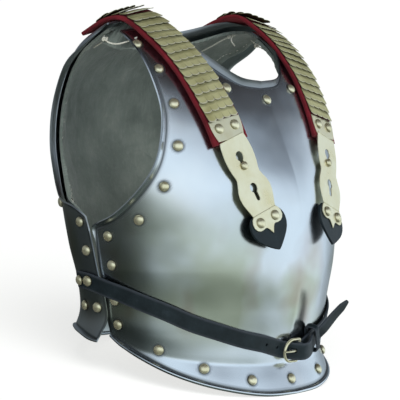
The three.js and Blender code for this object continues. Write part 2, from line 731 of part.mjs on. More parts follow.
function beltRightGeometry() {
  const side = beltFromSide(-1);
  const buckle = beltThroughBuckle.map((row) => onPlateAtX(breast, row.x, row.z, row.lift));
  const freeEnd = beltFreeEnd.map((row) => new THREE.Vector3(row.x, row.y, row.z));
  const curve = beltCurve([...side, ...buckle, ...freeEnd]);
  const stations = stationsAlong(curve, 34, (t) => beltAcross(curve, t));
  const taper = (t) => beltWidth * Math.min(1, 0.35 + (1 - t) * 26);
  const strap = sweep(stations, taper, beltThickness);
  const holes = [-44, -26].map((x) => {
    const z = x < -30 ? 63.5 : 59;
    const angle = angleAtX(breast, x, z);
    return place(new THREE.CylinderGeometry(1.6, 1.6, 12, 6).rotateX(Math.PI / 2),
      platePoint(breast, angle, z), plateNormal(breast, angle, z), new THREE.Vector3(0, 0, 1));
  });
  return cut(strap, [...holes, prongSlot()]);
}

// Middle of the buckle and the directions of its plane.
function buckleFrame() {
  const x = -5;
  const z = 55;
  const angle = angleAtX(breast, x, z);
  const normal = plateNormal(breast, angle, z);
  const origin = onPlate(breast, angle, z, buckleLift);
  const across = new THREE.Vector3(1, 0, 0).addScaledVector(normal, -normal.x).normalize();
  return { origin, across, up: normal.clone().cross(across), normal };
}

function inBuckle(x, y, z) {
  const frame = buckleFrame();
  return frame.origin.clone().addScaledVector(frame.across, x).addScaledVector(frame.up, y)
    .addScaledVector(frame.normal, z);
}

const buckleBar = 12;
const buckleReach = 13;

// Half-round frame with a straight bar on the wearer's left.
function buckleGeometry() {
  const centres = [];
  const steps = 12;
  for (let i = 0; i <= steps; i += 1) {
    const turn = radians(90 + i * 180 / steps);
    centres.push(inBuckle(Math.cos(turn) * buckleReach, Math.sin(turn) * buckleHalfHeight, 0));
  }
  centres.push(inBuckle(buckleBar, -buckleHalfHeight, 0), inBuckle(buckleBar, buckleHalfHeight, 0));
  return tubeRing(centres, buckleWire, 8);
}

// The prong's line, from the bar to the top of the frame's round side.
function prongEnds() {
  return [inBuckle(buckleBar - 3, 0, 0.4), inBuckle(-buckleReach - 3, 0, buckleWire * 2 + 0.2)];
}

function prongGeometry() {
  const [from, to] = prongEnds();
  const along = to.clone().sub(from);
  const pin = new THREE.CylinderGeometry(0.9, 1.5, along.length(), 8).rotateX(Math.PI / 2);
  const frame = buckleFrame();
  place(pin, from.clone().add(to).multiplyScalar(0.5), along, frame.up);
  const inner = buckleWire + clearance;
  const ring = [[inner, -2], [inner + 1.5, -2], [inner + 1.5, 2], [inner, 2], [inner, -2]];
  const eye = new THREE.LatheGeometry(ring.map(([r, z]) => new THREE.Vector2(r, z)), 12).rotateX(Math.PI / 2);
  place(eye, inBuckle(buckleBar, 0, 0), frame.up, frame.across);
  return join([pin, eye]);
}

// Slot in the belt for the prong.
function prongSlot() {
  const [from, to] = prongEnds();
  const along = to.clone().sub(from);
  const slot = new THREE.BoxGeometry(4.6, 7, along.length() - 2);
  return place(slot, from.clone().add(to).multiplyScalar(0.5), along, buckleFrame().up);
}

// The left part of the belt ends in leather turned round the buckle's bar.
function beltLeftGeometry() {
  const frame = buckleFrame();
  const foldRadius = buckleWire + clearance + beltThickness;
  const attach = inBuckle(buckleBar + 6, 0, -foldRadius + 0.2);
  const rows = beltFromSide(1).filter((p) => p.x > 50);
  const underKeeper = onPlateAtX(breast, 37, 63, 4.2);
  const curve = beltCurve([...rows, underKeeper, attach, inBuckle(buckleBar, 0, -foldRadius)]);
  const stations = stationsAlong(curve, 20, (t) => beltAcross(curve, t));
  const strap = sweep(stations, () => beltWidth, beltThickness);
  const sleeve = place(new THREE.CylinderGeometry(foldRadius, foldRadius, beltWidth, 12).rotateX(Math.PI / 2),
    inBuckle(buckleBar, 0, 0), frame.up, frame.across);
  const bore = place(new THREE.CylinderGeometry(buckleWire + clearance, buckleWire + clearance, 60, 10)
    .rotateX(Math.PI / 2), inBuckle(buckleBar, 0, 0), frame.up, frame.across);
  const gap = new THREE.BoxGeometry(14, 5, 12);
  const notch = place(gap, inBuckle(buckleBar - 3, 0, 1), frame.normal, frame.across);
  return cut(join([strap, sleeve]), [bore, notch]);
}

// Leather loop round both parts of the belt.
function keeperGeometry() {
  const x = 35;
  const z = 66;
  const angle = angleAtX(breast, x, z);
  const normal = plateNormal(breast, angle, z);
  const origin = onPlate(breast, angle, z, 9.6);
  const outer = new THREE.BoxGeometry(8, 35.4, 16);
  const inner = new THREE.BoxGeometry(20, 32, 13);
  const across = new THREE.Vector3(0.9, 0, 0.44);
  return cut(place(outer, origin, normal, across), [place(inner, origin, normal, across)]);
}

function beltRivetGeometry(side, angle) {
  const normal = plateNormal(back, side * angle, 138);
  const seat = onPlate(back, side * angle, 138, beltLift + beltThickness + clearance + 0.5);
  return place(dome(5, 3, 0), seat, normal, new THREE.Vector3(0, 0, 1));
}

// ---------------------------------------------------------------- assembly

const body = new THREE.Group();

function addPair(name, make, look) {
  body.add(piece(`${name}_right`, make(-1), look), piece(`${name}_left`, make(1), look));
}

const breastBody = breastplateGeometry();
const backBody = backplateGeometry();
const foot = lowestPoint(breastBody);
const floor = belowFloor(foot.point);

body.add(piece('breastplate', cut(breastBody, [floor]), 'steel'));
body.add(piece('backplate', cut(backBody, [floor]), 'steel'));
body.add(piece('breast_lining', breastLining(), 'canvas'));
body.add(piece('back_lining', backLining(), 'canvas'));
addPair('strap_felt', feltGeometry, 'felt');
addPair('end_plate', endPlateGeometry, 'brass');
addPair('strap_tip', strapTipGeometry, 'leather');
addPair('stud', studGeometry, 'brass');
for (let i = 0; i < scaleCount; i += 1) {
  const number = String(i + 1).padStart(2, '0');
  body.add(piece(`scale_right_${number}`, scaleGeometry(-1, i), 'scaleBrass'));
  body.add(piece(`scale_left_${number}`, scaleGeometry(1, i), 'scaleBrass'));
}
body.add(piece('belt_right', beltRightGeometry(), 'leather'));
body.add(piece('belt_left', beltLeftGeometry(), 'leather'));
body.add(piece('buckle_frame', buckleGeometry(), 'brass'));
body.add(piece('buckle_prong', prongGeometry(), 'brass'));
body.add(piece('belt_keeper', keeperGeometry(), 'leather'));
[77, 86].forEach((angle, i) => addPair(`belt_rivet_${i + 1}`, (side) => beltRivetGeometry(side, angle), 'brass'));

body.rotation.x = radians(-leanBack);
const cuirass = new THREE.Group();
cuirass.add(body);
cuirass.updateMatrixWorld(true);
const bounds = new THREE.Box3().setFromObject(cuirass, true);
const middle = bounds.getCenter(new THREE.Vector3());
cuirass.position.set(-middle.x, -middle.y, -bounds.min.z);

export default cuirass;
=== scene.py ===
import math

import bpy
import numpy as np
from mathutils import Matrix, Vector, noise


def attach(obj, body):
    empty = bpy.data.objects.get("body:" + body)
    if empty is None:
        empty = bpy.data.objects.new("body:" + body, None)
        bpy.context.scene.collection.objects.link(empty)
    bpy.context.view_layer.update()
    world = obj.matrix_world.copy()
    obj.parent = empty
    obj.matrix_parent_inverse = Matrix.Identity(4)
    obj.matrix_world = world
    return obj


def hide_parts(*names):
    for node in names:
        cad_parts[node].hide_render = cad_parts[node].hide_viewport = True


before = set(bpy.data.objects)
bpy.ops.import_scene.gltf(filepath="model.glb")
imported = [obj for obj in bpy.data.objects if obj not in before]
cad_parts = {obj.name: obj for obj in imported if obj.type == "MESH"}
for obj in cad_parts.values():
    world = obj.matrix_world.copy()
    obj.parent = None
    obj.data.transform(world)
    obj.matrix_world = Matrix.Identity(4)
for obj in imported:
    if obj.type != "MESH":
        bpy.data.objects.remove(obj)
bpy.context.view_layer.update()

stance = {
    "leanBack": 10.83,  # degrees
    "shift": (0.0, -22.875, -31.585),  # mm, after leaning
}

camera = {
    "around": -52.0,  # degrees from straight ahead of the wearer, towards the wearer's right
    "above": 2.5,
    "aside": 7.8,  # mm, how far the aim is from the wearer's middle
    "aimHeight": 223.2,
    "distance": 2400.0,
    "lens": 180.0,
    "sensor": 36.0,
    "farthest": 200.0,  # m
}

lean = Matrix.Rotation(-math.radians(stance["leanBack"]), 4, "X")
standMatrix = Matrix.Scale(0.001, 4) @ Matrix.Translation(stance["shift"]) @ lean


def stand(points):
    # from the wearer's frame in mm to the standing part's frame in metres
    m = np.array(standMatrix)
    return np.asarray(points, float) @ m[:3, :3].T + m[:3, 3]


def unit(v):
    return v / np.linalg.norm(v, axis=-1, keepdims=True)


def addObject(name, data):
    made = bpy.data.objects.new(name, data)
    bpy.context.scene.collection.objects.link(made)
    return made


def makeCamera():
    turn, rise = math.radians(camera["around"]), math.radians(camera["above"])
    right = Vector((math.cos(turn), math.sin(turn), 0))
    back = Vector((math.sin(turn) * math.cos(rise), -math.cos(turn) * math.cos(rise), math.sin(rise)))
    aim = Vector((right.x * camera["aside"], right.y * camera["aside"], camera["aimHeight"]))
    place = standMatrix @ (aim + back * camera["distance"])
    turned = [lean.to_3x3() @ v for v in (right, back.cross(right), back)]
    data = bpy.data.cameras.new("camera")
    data.lens = camera["lens"]
    data.sensor_width = camera["sensor"]
    data.clip_end = camera["farthest"]
    made = addObject("camera", data)
    made.matrix_world = Matrix.Translation(place) @ Matrix(turned).transposed().to_4x4()
    bpy.context.scene.camera = made


makeCamera()
print("camera set")


# ---- shapes shared by the pieces

def table(names, *rows):
    return dict(zip(names.split(), np.array(rows, float).T))


def rowsOf(rows):
    return list(zip(*rows.values()))


def hermite(s, start, end, startSlope, endSlope):
    return ((2 * s**3 - 3 * s**2 + 1) * start + (s**3 - 2 * s**2 + s) * startSlope
            + (3 * s**2 - 2 * s**3) * end + (s**3 - s**2) * endSlope)


def smooth(rows, key, column, at):
    # cubic through every row of one column
    keys, values = rows[key], rows[column]
    spans = np.diff(keys)
    chords = np.diff(values) / spans
    slopes = np.empty_like(values)
    slopes[0], slopes[-1] = chords[0], chords[-1]
    slopes[1:-1] = (chords[:-1] * spans[1:] + chords[1:] * spans[:-1]) / (spans[:-1] + spans[1:])
    t = np.clip(np.asarray(at, float), keys[0], keys[-1])
    i = np.searchsorted(keys[1:-1], t, side="left")
    s = (t - keys[i]) / spans[i]
    return hermite(s, values[i], values[i + 1], slopes[i] * spans[i], slopes[i + 1] * spans[i])


# half width, y of the widest point, depth to the centre line, squareness and centre ridge
breast = {
    "sections": table("height z half side depth square keel",
        (0, 0, 162, 0, 152, 2.4, 0), (20, 20, 161, 0, 144.3, 2.4, 0), (34, 34, 160.2, 0, 138.9, 2.4, 0.01),
        (37.4, 37.4, 159.9, 0, 137.7, 2.4, 0.013), (38.6, 38.6, 159.9, 0, 137.4, 2.4, 0.014),
        (39.8, 39.8, 160, 0, 137.6, 2.4, 0.015), (46, 46, 160.9, 0, 138.7, 2.4, 0.02),
        (60, 60, 164, 0, 141.4, 2.4, 0.04), (100, 100, 167, 0, 151, 2.4, 0.07),
        (150, 150, 173, 0, 160, 2.45, 0.08), (190, 190, 178, 0, 160, 2.5, 0.08),
        (240, 240, 184, 0, 153, 2.6, 0.06), (290, 290, 183, 0, 134, 2.7, 0.03),
        (333, 333, 177, 0, 114, 2.7, 0.01), (375, 375, 171, 0, 86, 2.7, 0),
        (405, 405, 165, 0, 56, 2.6, 0), (425, 422, 159, 0, 30, 2.5, 0), (435, 429, 157, 0, 15, 2.4, 0)),
    "bottom": table("at angle height", (0, 0, 8), (0.2, 18, 10.5), (0.4, 36, 20), (0.6, 53, 35),
        (0.8, 71, 56.5), (1, 87, 76)),
    "side": table("at angle height", (0, 87, 76), (0.35, 87.4, 112), (0.7, 89.2, 155), (1, 90, 197)),
    "armhole": table("at angle height", (0, 90, 197), (0.12, 79, 207), (0.26, 67, 231),
        (0.42, 56.4, 267), (0.58, 51.6, 310), (0.74, 51.2, 353), (0.87, 54.4, 398), (1, 62, 430)),
    "neck": table("at angle height", (0, 0, 356), (0.22, 11.5, 360), (0.42, 18.5, 371),
        (0.6, 24, 385), (0.78, 28.5, 399), (1, 35, 432)),
    "facing": -1,
    "rise": 34,  # the rows below the waist climb this far towards the sides
}

back = {
    "sections": table("height z half side depth square keel",
        (48, 48, 171, 4, 116, 2.1, 0), (66, 66, 173, 4, 110, 2.1, 0), (80, 80, 172.3, 4, 102, 2.1, 0),
        (95, 95, 171, 4, 92, 2.1, 0), (130, 130, 175, 4, 88, 2.1, 0), (180, 180, 182, 4, 104, 2.15, 0),
        (240, 240, 187, 4, 118, 2.2, 0), (300, 300, 185, 4, 134, 2.2, 0), (350, 350, 178, 4, 130, 2.2, 0),
        (390, 390, 169, 2, 111, 2.3, 0), (415, 413, 164, 0, 87, 2.4, 0), (435, 427, 160, -2, 60, 2.4, 0),
        (455, 436, 158, -5, 32, 2.4, 0), (474, 437, 157, -11, 8, 2.4, 0)),
    "bottom": table("at angle height", (0, 0, 60), (0.18, 14, 62), (0.4, 33, 75), (0.6, 52, 84),
        (0.8, 72, 81), (1, 90, 71)),
    "side": table("at angle height", (0, 90, 71), (0.1, 92.5, 79), (0.2, 96.5, 92), (0.34, 96.5, 112),
        (0.55, 92.6, 144), (0.78, 89.7, 178), (1, 86.5, 209)),
    "armhole": table("at angle height", (0, 86.5, 209), (0.08, 79, 217), (0.17, 67, 224),
        (0.27, 60, 240), (0.4, 55, 272), (0.55, 53.5, 312), (0.7, 54.6, 352), (0.83, 60, 391),
        (0.92, 70, 418), (1, 76, 456)),
    "neck": table("at angle height", (0, 0, 418), (0.3, 17, 422), (0.6, 29, 434), (1, 44, 471)),
    "facing": 1,
    "rise": 0,
}

waistFrom, waistSpan = 150, 70  # the rows' rise starts below the first and is whole after the second
ridgeEnd = 60  # degrees from the centre line
shoulderFrom, shoulderSpan, shoulderAside, shoulderDrop = 380, 60, 100, 0.12
sideShare, neckShare = 1 / 3, 0.7  # of a half plate's side edge and top edge


def platePoint(plate, angle, height):
    angle, height = np.broadcast_arrays(np.asarray(angle, float), np.asarray(height, float))
    rows = plate["sections"]
    lookup = height - plate["rise"] * (angle / 90) ** 2 * np.clip((waistFrom - height) / waistSpan, 0, 1)
    half, side, depth, square, keel = (
        smooth(rows, "height", c, lookup) for c in ("half", "side", "depth", "square", "keel"))
    z = smooth(rows, "height", "z", height) + np.minimum(0, height - rows["height"][0])
    sine, cosine = np.sin(np.radians(angle)), np.cos(np.radians(angle))
    r = (np.abs(sine) ** square + np.abs(cosine) ** square) ** (-1 / square)
    ridge = np.maximum(0, 1 - np.abs(angle) / ridgeEnd) ** 2
    x = half * r * sine
    y = side + plate["facing"] * depth * r * cosine * (1 + keel * ridge) / (1 + keel)
    high = np.clip((height - shoulderFrom) / shoulderSpan, 0, 1)
    return np.stack([x, y, z - shoulderDrop * np.maximum(0, np.abs(x) - shoulderAside) * high], -1)


def plateNormal(plate, angle, height):
    step = 0.5
    across = platePoint(plate, angle + step, height) - platePoint(plate, angle - step, height)
    up = platePoint(plate, angle, height + step) - platePoint(plate, angle, height - step)
    return unit(np.cross(across, up) * -plate["facing"])


def angleAtX(plate, x, height):
    low, high = -89.0, 89.0
    for _ in range(30):
        middle = (low + high) / 2
        if platePoint(plate, middle, height)[0] < x:
            low = middle
        else:
            high = middle
    return low


def onPlate(plate, angle, height, lift):
    return platePoint(plate, angle, height) + plateNormal(plate, angle, height) * np.expand_dims(lift, -1)


def onPlateAtX(plate, x, height, lift):
    return onPlate(plate, angleAtX(plate, x, height), height, lift)


def patch(plate, u, v):
    # angle and height at u (centre line to outer edge) and v (bottom to top) of a half plate
    u, v = np.broadcast_arrays(np.asarray(u, float), np.asarray(v, float))
    found = []
    for c in ("angle", "height"):
        bottom = smooth(plate["bottom"], "at", c, u)
        side = np.where(v <= sideShare, smooth(plate["side"], "at", c, v / sideShare),
                        smooth(plate["armhole"], "at", c, (v - sideShare) / (1 - sideShare)))
        neckEnd, shoulderEnd = plate["neck"][c][-1], plate["armhole"][c][-1]
        ramp = np.clip((u - neckShare) / (1 - neckShare), 0, 1)
        top = np.where(u <= neckShare, smooth(plate["neck"], "at", c, u / neckShare),
                       neckEnd + (shoulderEnd - neckEnd) * ramp)
        low, high = plate["bottom"][c][0], plate["neck"][c][0]
        centre = low + (high - low) * v if c == "height" else 0 * v
        lowEnd = plate["bottom"][c][-1]
        found.append((1 - v) * bottom + v * top + (1 - u) * centre + u * side
                     - (1 - u) * (1 - v) * low - u * (1 - v) * lowEnd
                     - (1 - u) * v * high - u * v * shoulderEnd)
    return found


# ---- meshes and materials

def makePiece(name, points, faces, finish, sharp=35, body="root", attributes=None, standing=False):
    mesh = bpy.data.meshes.new(name)
    mesh.from_pydata((points if standing else stand(points)).tolist(), [], faces)
    for key, values in (attributes or {}).items():
        layer = mesh.attributes.new(key, "FLOAT", "POINT")
        layer.data.foreach_set("value", np.asarray(values, np.float32))
    mesh.shade_smooth()
    mesh.set_sharp_from_angle(angle=math.radians(sharp))
    mesh.materials.append(finish)
    made = addObject(name, mesh)
    if body:
        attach(made, body)
    return made


def evaluated(source):
    bpy.context.view_layer.update()
    return bpy.data.meshes.new_from_object(source.evaluated_get(bpy.context.evaluated_depsgraph_get()))


def quads(first, second, closed=True):
    # faces between two rings of vertex numbers
    count = len(first)
    last = count if closed else count - 1
    return [(first[i], first[(i + 1) % count], second[(i + 1) % count], second[i]) for i in range(last)]


def wallFaces(rows, width):
    # faces of both sides of a wall whose points are two grids, the outer one first, and the numbers
    # of the outer points round its edge
    size, faces = rows * width, []
    for row in range(rows - 1):
        first = np.arange(row * width, row * width + width - 1)
        front = np.stack([first, first + 1, first + 1 + width, first + width], -1)
        faces += front.tolist() + (front[:, (0, 3, 2, 1)] + size).tolist()
    last = size - width
    loop = (list(range(width)) + [r * width + width - 1 for r in range(1, rows)]
            + [last + i for i in range(width - 2, -1, -1)] + [r * width for r in range(rows - 2, 0, -1)])
    return faces, loop


def addNode(tree, kind, inputs=None, out=0, **settings):
    # each input is a constant, or an output to link it to
    made = tree.nodes.new(kind)
    for key, value in settings.items():
        setattr(made, key, value)
    for socket, value in (inputs or {}).items():
        if isinstance(value, bpy.types.NodeSocket):
            tree.links.new(value, made.inputs[socket])
        else:
            made.inputs[socket].default_value = value
    return made.outputs[out] if made.outputs else made


def tint(code):
    # sRGB hex to linear RGBA
    parts = [int(code[i:i + 2], 16) / 255 for i in (1, 3, 5)]
    return [p / 12.92 if p <= 0.04045 else ((p + 0.055) / 1.055) ** 2.4 for p in parts] + [1.0]


def perMm(size):
    # pattern scale on Object coordinates for a feature of this many mm
    return 1000 / size


def newMaterial(name, **sockets):
    made = bpy.data.materials.new(name)
    made.use_nodes = True
    shader = made.node_tree.nodes["Principled BSDF"]
    for socket, value in sockets.items():
        shader.inputs[socket.replace("_", " ")].default_value = value
    return made, shader, addNode(made.node_tree, "ShaderNodeTexCoord", out="Object")


def wire(shader, **sources):
    for socket, source in sources.items():
        shader.id_data.links.new(source, shader.inputs[socket.replace("_", " ")])


def pointValue(tree, name):
    return addNode(tree, "ShaderNodeAttribute", out="Fac", attribute_name=name)


def maths(how, *terms):
    tree = next(t for t in terms if isinstance(t, bpy.types.NodeSocket)).id_data
    return addNode(tree, "ShaderNodeMath", dict(enumerate(terms)), operation=how)


def between(source, low, high):
    return addNode(source.id_data, "ShaderNodeMapRange", {0: source, "To Min": low, "To Max": high})


def ramp(source, *stops):
    made = addNode(source.id_data, "ShaderNodeValToRGB", {0: source})
    band = made.node.color_ramp
    while len(band.elements) < len(stops):
        band.elements.new(0.5)
    for element, (at, colour) in zip(band.elements, stops):
        element.position = at
        element.color = tint(colour) if isinstance(colour, str) else (colour, colour, colour, 1)
    return made


def noiseAt(where, size, detail=4.0, roughness=0.55, distortion=0.0, stretch=None):
    tree = where.id_data
    if stretch:
        where = addNode(tree, "ShaderNodeMapping", {0: where, "Scale": stretch})
    return addNode(tree, "ShaderNodeTexNoise", {"Vector": where, "Scale": perMm(size), "Detail": detail,
                                                "Roughness": roughness, "Distortion": distortion}, "Fac")


def mixColour(base, factor, over, how="MIX"):
    over = tint(over) if isinstance(over, str) else over
    return addNode(base.id_data, "ShaderNodeMix", {0: factor, 6: base, 7: over}, 2, data_type="RGBA",
                   blend_type=how)


def bumpFrom(height, depth, normal=None):
    # depth in mm
    under = {"Normal": normal} if normal else {}
    return addNode(height.id_data, "ShaderNodeBump", {"Strength": 1.0, "Distance": depth / 1000,
                                                      "Height": height, **under})


def polishedSteel():
    # mild steel, beaten to shape and polished by hand: soft cloudy reflections, faint scratches,
    # brown and olive stains in a low band that is also painted shade for the darker ground mirrored there,
    # darker in the rims' grooves and round the rivets, and painted shade on the neck rim, the back plate and
    # the plates' inner faces
    made, shader, where = newMaterial("polished_steel", Metallic=1.0)
    up = addNode(where.id_data, "ShaderNodeSeparateXYZ", {0: where}, 2)
    # painted shade: a band low down that holds the stains and rust and darkens the steel there, standing in
    # for the dark ground the lower chest would mirror
    low = ramp(up, (0.045, 0.0), (0.075, 1.0), (0.14, 1.0), (0.23, 0.0))
    cloud = noiseAt(where, 90, 3, 0.5, 0.2)
    stainAndShade = ramp(noiseAt(where, 75, 2, 0.4, 0.15), (0.4, 0.0), (0.62, 0.75))
    rustAndShade = ramp(noiseAt(where, 60, 2, 0.4, 0.1, (1.0, 1.3, 1.0)), (0.5, 0.0), (0.7, 0.5))
    scratch = noiseAt(where, 3.2, 3, 0.7, 0, (1.0, 1.0, 0.05))
    # darker in the rims' grooves and round the rivets, and painted shade on the neck rim, the back plate's
    # outer face and rims and the plates' inner faces
    grime = pointValue(where.id_data, "grime")
    base = ramp(cloud, (0.3, "#d3dae0"), (0.55, "#dfe5ea"), (0.75, "#eceff1"))
    # stains and rust laid only in the low band: partly real stains, partly painted shade
    for factor, over in ((maths("MULTIPLY", stainAndShade, low), "#b3b99c"),
                         (maths("MULTIPLY", rustAndShade, low), "#a8897c"), (grime, "#2b2a29")):
        base = mixColour(base, factor, over)
    rough = maths("MULTIPLY_ADD", scratch, 0.05, between(cloud, 0.13, 0.25))
    rough = maths("MULTIPLY_ADD", grime, 0.3, rough)
    wire(shader, Base_Color=base, Roughness=rough, Normal=bumpFrom(scratch, 0.006))
    return made


def agedBrass(name, light, middle, dark, rough, metal):
    # rolled brass sheet, hand-rubbed: paler along edges, which is rubbed wear and on the scales also a
    # painted highlight; darker with the grime and shade attribute, at the rivets' feet and as painted shadow
    # on the scales
    made, shader, where = newMaterial(name, Metallic=metal)
    cloud = noiseAt(where, 26, 4, 0.5, 0.3)
    base = ramp(cloud, (0.25, dark), (0.6, middle))
    # paler along edges: rubbed wear, and on the scales a painted highlight
    base = mixColour(base, pointValue(where.id_data, "edge"), light)
    # darker at the rivets' feet, and painted shadow on the scales
    base = mixColour(base, pointValue(where.id_data, "grime"), "#3d3420")
    wire(shader, Base_Color=base, Roughness=between(cloud, rough - 0.08, rough + 0.12),
         Normal=bumpFrom(noiseAt(where, 1.6, 3, 0.7), 0.03))
    return made


def woolFelt():
    # pressed wool dyed crimson: matt, fuzzy, darker in the hollows
    made, shader, where = newMaterial("pressed_wool_felt", Roughness=0.95, Sheen_Weight=0.35,
                                      Sheen_Roughness=0.5, Sheen_Tint=tint("#c65a5c"))
    base = ramp(noiseAt(where, 22, 4, 0.6), (0.3, "#4e0a13"), (0.55, "#64101b"), (0.75, "#761a26"))
    lint = ramp(noiseAt(where, 0.8, 2, 0.6), (0.62, 0.0), (0.75, 0.5))
    wire(shader, Base_Color=mixColour(base, lint, "#8e3b42"),
         Normal=bumpFrom(noiseAt(where, 1.4, 5, 0.75), 0.35))
    return made


def beltLeather():
    # cowhide, dyed blue-black and waxed: fine grain, a dull shine, grey where edges rub
    made, shader, where = newMaterial("dyed_belt_leather", Specular_IOR_Level=0.3)
    grain = addNode(where.id_data, "ShaderNodeTexVoronoi", {"Scale": perMm(1.3), "Vector": where},
                    "Distance")
    cloud = noiseAt(where, 18, 5, 0.6)
    base = ramp(cloud, (0.3, "#10181b"), (0.6, "#182226"), (0.8, "#263137"))
    rub = maths("MULTIPLY", pointValue(where.id_data, "edge"), 0.55)
    wire(shader, Base_Color=mixColour(base, rub, "#3b3f46"), Roughness=between(cloud, 0.34, 0.58),
         Normal=bumpFrom(noiseAt(where, 7, 4), 0.25, bumpFrom(grain, 0.08)))
    return made


def liningCanvas():
    # plain-woven linen canvas, unbleached and greyed: threads 0.9 mm apart, drawn coarser to show
    made, shader, where = newMaterial("woven_linen_canvas", Roughness=0.9, Sheen_Weight=0.15)
    tree = where.id_data
    sheet = addNode(tree, "ShaderNodeUVMap", uv_map="cloth")
    thread, waveTurn = 1.5, 0.314  # mm, and the wave texture's own period
    waves = [addNode(tree, "ShaderNodeTexWave",
                     {"Vector": sheet, "Scale": perMm(thread) * waveTurn, "Distortion": 0.6, "Detail": 1.0,
                      "Detail Scale": 3.0}, "Fac", bands_direction=d) for d in ("X", "Y")]
    weave = maths("MULTIPLY", *waves)
    slub = noiseAt(where, 4, 3, 0.6, 0, (1.0, 1.0, 0.25))
    base = ramp(noiseAt(where, 45, 5, 0.6), (0.3, "#656e67"), (0.55, "#7c857d"), (0.75, "#8f968c"))
    base = mixColour(base, ramp(weave, (0.0, 0.34), (0.5, 0.0)), "#4d544e")
    base = mixColour(base, ramp(slub, (0.5, 0.0), (0.8, 0.14)), "#c0c2b6")
    wire(shader, Base_Color=base,
         Normal=bumpFrom(weave, 0.15, bumpFrom(noiseAt(where, 34, 4, 0.5, 0.8), 5.0)))
    return made


def cottonCord():
    # twisted white cotton: matt, faintly ribbed
    made, shader, where = newMaterial("twisted_cotton_cord", Roughness=0.9)
    twist = noiseAt(where, 1.2, 2)
    wire(shader, Base_Color=ramp(twist, (0.35, "#b9b7a8"), (0.65, "#e3e1d4")), Normal=bumpFrom(twist, 0.2))
    return made


steel = polishedSteel()
brass = agedBrass("rubbed_sheet_brass", "#faf7e4", "#f0eacb", "#ded3a8", 0.28, 0.85)
# on the scales the first colour is the pale edge: rubbed wear and a painted highlight
scaleBrass = agedBrass("tarnished_scale_brass", "#fffce6", "#dcd8a4", "#bbb57e", 0.45, 0.6)
rivetBrass = agedBrass("turned_rivet_brass", "#fbf6de", "#efe8c6", "#cdc49c", 0.26, 0.85)
felt = woolFelt()
leather = beltLeather()
canvas = liningCanvas()
cord = cottonCord()
print("materials made")


# ---- geometry nodes that set small parts along points

def scatterTree():
    tree = bpy.data.node_groups.new("set_parts_on_points", "GeometryNodeTree")
    for name, kind in (("Geometry", "Geometry"), ("Part", "Object"), ("Finish", "Material"),
                       ("Size", "Float"), ("Size Spread", "Float"), ("Turn Spread", "Vector"),
                       ("Seed", "Int")):
        tree.interface.new_socket(name, in_out="INPUT", socket_type="NodeSocket" + kind)
    tree.interface.new_socket("Geometry", in_out="OUTPUT", socket_type="NodeSocketGeometry")
    start = tree.nodes.new("NodeGroupInput").outputs
    part = addNode(tree, "GeometryNodeObjectInfo", {"Object": start["Part"]}, "Geometry")
    normal, across = (
        addNode(tree, "GeometryNodeInputNamedAttribute", {"Name": n}, data_type="FLOAT_VECTOR")
        for n in ("normal_dir", "across_dir"))
    facing = addNode(tree, "FunctionNodeAxesToRotation", {0: normal, 1: across}, primary_axis="Z",
                     secondary_axis="X")
    most, seed = start["Turn Spread"], start["Seed"]
    least = addNode(tree, "ShaderNodeVectorMath", {0: most, "Scale": -1.0}, operation="SCALE")
    wobble = addNode(tree, "FunctionNodeRandomValue", {"Min": least, "Max": most, "Seed": seed},
                     data_type="FLOAT_VECTOR")
    spin = addNode(tree, "FunctionNodeEulerToRotation", {0: wobble})
    turned = addNode(tree, "FunctionNodeRotateRotation", {0: facing, 1: spin}, rotation_space="LOCAL")
    small, large = (maths(how, 1.0, start["Size Spread"]) for how in ("SUBTRACT", "ADD"))
    share = addNode(tree, "FunctionNodeRandomValue", {2: small, 3: large, "Seed": seed}, 1,
                    data_type="FLOAT")
    placed = addNode(tree, "GeometryNodeInstanceOnPoints",
                     {"Points": start["Geometry"], "Instance": part, "Rotation": turned,
                      "Scale": maths("MULTIPLY", share, start["Size"])})
    real = addNode(tree, "GeometryNodeRealizeInstances", {0: placed})
    done = addNode(tree, "GeometryNodeSetMaterial", {"Geometry": real, "Material": start["Finish"]})
    addNode(tree, "NodeGroupOutput", {0: done})
    return tree


setParts = scatterTree()


def scatter(name, part, places, normals, acrosses, finish, spread=0.0, turns=(0, 0, 0), seed=1):
    # a copy of "part" at every place, its +Z along the normal and its +X along the across direction
    rotate = np.array(standMatrix.to_3x3()) * 1000  # directions keep their length
    mesh = bpy.data.meshes.new(name)
    mesh.from_pydata(stand(places).tolist(), [], [])
    for key, values in (("normal_dir", normals), ("across_dir", acrosses)):
        layer = mesh.attributes.new(key, "FLOAT_VECTOR", "POINT")
        layer.data.foreach_set("vector", (np.asarray(values, float) @ rotate.T).astype(np.float32).ravel())
    points = addObject(name + "_points", mesh)
    modifier = points.modifiers.new("set parts", "NODES")
    modifier.node_group = setParts
    sockets = {i.name: i.identifier for i in setParts.interface.items_tree if i.in_out == "INPUT"}
    for key, value in (("Part", part), ("Finish", finish), ("Size", 1.0), ("Size Spread", spread),
                       ("Turn Spread", turns), ("Seed", seed)):
        modifier[sockets[key]] = value
    points.update_tag()
    plain = evaluated(points)
    plain.name = name
    made = addObject(name, plain)
    bpy.data.objects.remove(points)
    bpy.data.objects.remove(part)
    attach(made, "root")
    return made


